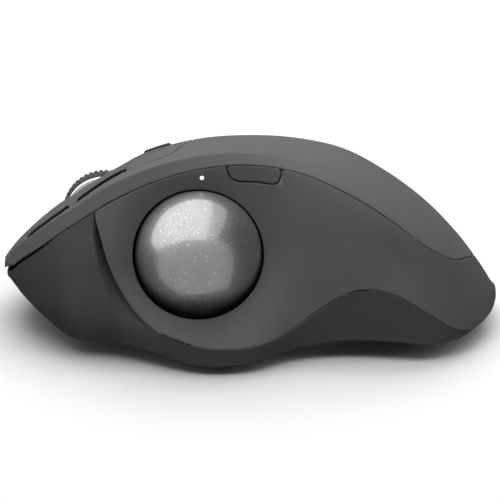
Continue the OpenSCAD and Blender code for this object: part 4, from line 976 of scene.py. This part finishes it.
cover("lower_shell", "lower_plastic", "housing", ["lower_housing"], housing_loop, [case_loop, port_hole],
      Surface(((3, -5), (3, 8)), trough), wall=thin_ends(1.5), rim=[(0.0, 0.15, None), (0.0, 0.3, None)])
cover("precision_key_shell", "thumb_plastic", "precision_key", ["precision_button"], precision_loop, gap=0.34,
      lip=0.3, grid=0.5)
cover("mode_key_shell", "strip_plastic", "mode_key", ["mode_button"], mode_loop, [], lifted(SIDE_RAISE), gap=0.0,
      lip=0.45, wall=2.2, grid=0.5)
for side in SIDE_KEYS:
    cover(f"{side}_key_cap", "side_key_plastic", f"{side}_key", [f"{side}_button"], side_loops[side], [],
          lifted(SIDE_RAISE), gap=0.0, lip=0.22, wall=0.45, grid=0.35)
    # Painted shade: a recessed stem in near-black plastic under each cap, so that the slit below the cap reads dark
    cover(f"{side}_key_shade_stem", "inner_plastic", f"{side}_key", [], shade_stem_loops[side], [], lifted(SHADE_STEM_RAISE), gap=0.0,
          lip=0.05, wall=2.0, grid=0.5)


def turned_solid(name, profile, material, centre, axis, n=128, change=None, closed=False):
    """A body of revolution: profile is (radius, height) along axis. change(angle, r, h) moves the rings."""
    axis = unit(np.asarray(axis, float))
    side = unit(np.cross(axis, [0.3, 0.5, 0.8]))
    up = np.cross(axis, side)
    profile = np.asarray(profile, float)
    a = np.linspace(0, 2 * math.pi, n, endpoint=False)
    m = len(profile)
    r, h = np.broadcast_to(profile[:, 0], (n, m)).copy(), np.broadcast_to(profile[:, 1], (n, m)).copy()
    if change:
        r, h = change(a[:, None], r, h)
    v = (np.asarray(centre) + (r * np.cos(a)[:, None])[..., None] * side + (r * np.sin(a)[:, None])[..., None] * up
         + h[..., None] * axis).reshape(-1, 3)
    faces = []
    for i in range(n):
        j = (i + 1) % n
        for k in range(m if closed else m - 1):
            l = (k + 1) % m
            faces.append((i * m + k, j * m + k, j * m + l, i * m + l))
    if not closed:
        faces.append([i * m for i in range(n)][::-1])
        faces.append([i * m + m - 1 for i in range(n)])
    return mesh_object(name, v, faces, material)


def round_profile(points, r=0.25, n=4):
    """An open profile with its inner corners rounded."""
    p = np.asarray(points, float)
    out = [p[0]]
    for a, b, c in zip(p[:-2], p[1:-1], p[2:]):
        ra = min(r, np.linalg.norm(a - b) * 0.45, np.linalg.norm(c - b) * 0.45)
        u, w = b + unit(a - b) * ra, b + unit(c - b) * ra
        for t in np.linspace(0, 1, n + 1):
            out.append(u * (1 - t) ** 2 + 2 * b * t * (1 - t) + w * t * t)
    return np.array(out + [p[-1]])


# Trackball: a dense sphere of rings round the axis that it turns on
rings = 96
angle = np.linspace(0.6, 179.4, rings)
ball_profile = np.column_stack([BALL_R * np.sin(np.radians(angle)), -BALL_R * np.cos(np.radians(angle))])
fit(turned_solid("trackball_polished", ball_profile, MATERIALS["ball_resin"], BALL, ball_out, n=2 * rings),
    "trackball", "ball_resin", "trackball")

WHEEL_R, WHEEL_W, TYRE_IN, RIBS = 11.4, 6.2, 9.9, 48
RIB_DEPTH = 0.6
TREAD = 2.15


def ribbed(angle, r, h):
    dip = RIB_DEPTH * (0.5 + 0.5 * np.cos(angle * RIBS)) ** 4
    return r - dip * ramp(TYRE_IN + 0.4, WHEEL_R - 0.3, r), h


half_w = WHEEL_W / 2
side = [(TYRE_IN + 0.02, TREAD), (WHEEL_R - 0.7, TREAD), (WHEEL_R - 0.1, TREAD - 0.5), (WHEEL_R, 0.8)]
tyre_profile = round_profile([(TYRE_IN + 0.5, 0), (TYRE_IN + 0.02, 0)] + [(r, -h) for r, h in side] + side[::-1]
                             + [(TYRE_IN + 0.02, 0.01)], 0.3)[1:]
fit(turned_solid("ribbed_tyre", tyre_profile, MATERIALS["wheel_rubber"], WHEEL, Y,
                 n=RIBS * 12, change=ribbed, closed=True),
    "wheel", "wheel_rubber", "wheel_tyre")
hub_side = [(TYRE_IN - 0.05, 0), (TYRE_IN - 0.05, TREAD + 0.05), (WHEEL_R - 0.6, TREAD + 0.05),
            (WHEEL_R - 1.1, half_w - 0.4),
            (9.4, half_w - 0.15), (7.8, 3.1), (6.7, 2.95), (5.4, 2.0), (4.3, 1.9),
            (3.4, 2.6), (3.1, 4.3), (1.52, 4.3)]
hub_profile = round_profile([(r, -h) for r, h in hub_side[::-1]] + hub_side[1:], 0.35, 5)
hub_profile = np.vstack([hub_profile, [(1.52, 0.0)]])
fit(turned_solid("wheel_disc", hub_profile, MATERIALS["wheel_chrome"], WHEEL, Y, n=144, closed=True),
    "wheel", "wheel_chrome", "wheel_hub")


def socket_frame():
    """Bezel that closes the nose round the charging socket: two rounded rectangles, joined and given depth."""
    outer = rounded_box(-5.9, 10.3, 3.9, 14.3, 1.0)
    inner = rounded_box(-4.75, 11.05, 2.75, 13.55, 0.9)
    n = 64
    loops = []
    for loop in (outer, inner):
        closed = resample(np.vstack([loop, loop[:1]]), 0.05)
        pick = np.linspace(0, len(closed) - 1, n, endpoint=False).astype(int)
        loops.append(closed[pick])
    v = []
    for loop, x in ((loops[0], -61.0), (loops[0], -61.9), (loops[0] * 0.98 + np.array([-1.0, 12.3]) * 0.02, -62.05),
                    (loops[1], -62.05), (loops[1], -61.0)):
        v.append(np.column_stack([np.full(n, x), loop]))
    faces = []
    for k in range(5):
        l = (k + 1) % 5
        for i in range(n):
            j = (i + 1) % n
            faces.append((k * n + i, k * n + j, l * n + j, l * n + i))
    return mesh_object("socket_bezel", np.vstack(v), faces, MATERIALS["inner_plastic"], smooth=False)


fit(socket_frame(), "housing", "inner_plastic")

# ------------------------------------------------------------------ floor, light and camera
def grid_plane(name, size, cells, material):
    x = np.linspace(-size, size, cells + 1)
    gx, gy = np.meshgrid(x, x, indexing="ij")
    v = np.column_stack([gx.ravel(), gy.ravel(), np.full(gx.size, -0.02)])
    n = cells + 1
    corners = [i * n + j for i in range(cells) for j in range(cells)]
    faces = [(k, k + n, k + n + 1, k + 1) for k in corners]
    return mesh_object(name, v, faces, material)


floor_paint = Paint("studio_floor")
sweep = floor_paint.noise(60, 2)
floor_material = floor_paint.finish(floor_paint.ramp(sweep, [(0.3, (0.86, 0.86, 0.86)), (0.7, (0.88, 0.88, 0.88))]),
                                    floor_paint.spread(sweep, 0.75, 0.85))
# The floor is left out of reflections, so that the ball shows only the cards
floor = grid_plane("studio_floor", 6000, 24, floor_material)
floor.visible_glossy = floor.visible_shadow = False


def area_light(name, place, aim, size, energy, gloss=False):
    """A soft light. A gloss light is a card that only reflections see; the others light only matt surfaces."""
    light = bpy.data.lights.new(name, "AREA")
    light.shape = "RECTANGLE"
    light.size, light.size_y = size
    light.energy = energy
    o = bpy.data.objects.new(name, light)
    bpy.context.scene.collection.objects.link(o)
    o.location = place
    o.rotation_euler = (Vector(aim) - Vector(place)).to_track_quat("-Z", "Y").to_euler()
    o.visible_diffuse, o.visible_glossy = not gloss, gloss
    return o


CENTRE = (0, 0, 0.02)
for name, place, size, power in (("overhead", (0, 0, 1.0), (1.2, 1.2), 6.5), ("rear", (0, 0.8, 0.8), (1.2, 0.8), 12.5),
                                 ("left", (-0.9, -0.1, 0.7), (0.8, 1.0), 1.4),
                                 ("right", (0.9, -0.1, 0.7), (0.8, 1.0), 3.8),
                                 ("left_low", (-1.1, -0.5, 0.25), (0.6, 0.4), 0.3)):
    area_light(name, place, CENTRE, size, power)
# What the ball shows: a bright window to the left above it, with a dimmer edge, and a wide grey card in front
area_light("window_gloss", (-0.855, 0.0, 0.35), (-0.855, 0.0, 0.0), (1.9, 0.66), 6.4, gloss=True)
area_light("window_fade", (0.17, 0.0, 0.35), (0.17, 0.0, 0.0), (0.15, 0.6), 0.22, gloss=True)
area_light("front_gloss", (-1.8, -1.3, -0.5), (-1.8, 0, -0.5), (9.0, 4.2), 54.0, gloss=True)
world = bpy.data.worlds.new("studio")
bpy.context.scene.world = world
world.use_nodes = True
world.node_tree.nodes["Background"].inputs["Color"].default_value = (1, 1, 1, 1)
world.node_tree.nodes["Background"].inputs["Strength"].default_value = 0.05

camera_data = bpy.data.cameras.new("camera")
camera = bpy.data.objects.new("camera", camera_data)
bpy.context.scene.collection.objects.link(camera)
TARGET, DISTANCE, RAISED, VIEW_WIDTH = Vector((-0.0001, 0, 0.0171)), 1.5, math.radians(20), 0.135
camera.location = TARGET + Vector((0, -DISTANCE * math.cos(RAISED), DISTANCE * math.sin(RAISED)))
camera.rotation_euler = (TARGET - camera.location).to_track_quat("-Z", "Y").to_euler()
camera_data.sensor_width = 36
camera_data.lens = camera_data.sensor_width * DISTANCE / VIEW_WIDTH
bpy.context.scene.camera = camera
bpy.context.scene.view_settings.view_transform = "Standard"
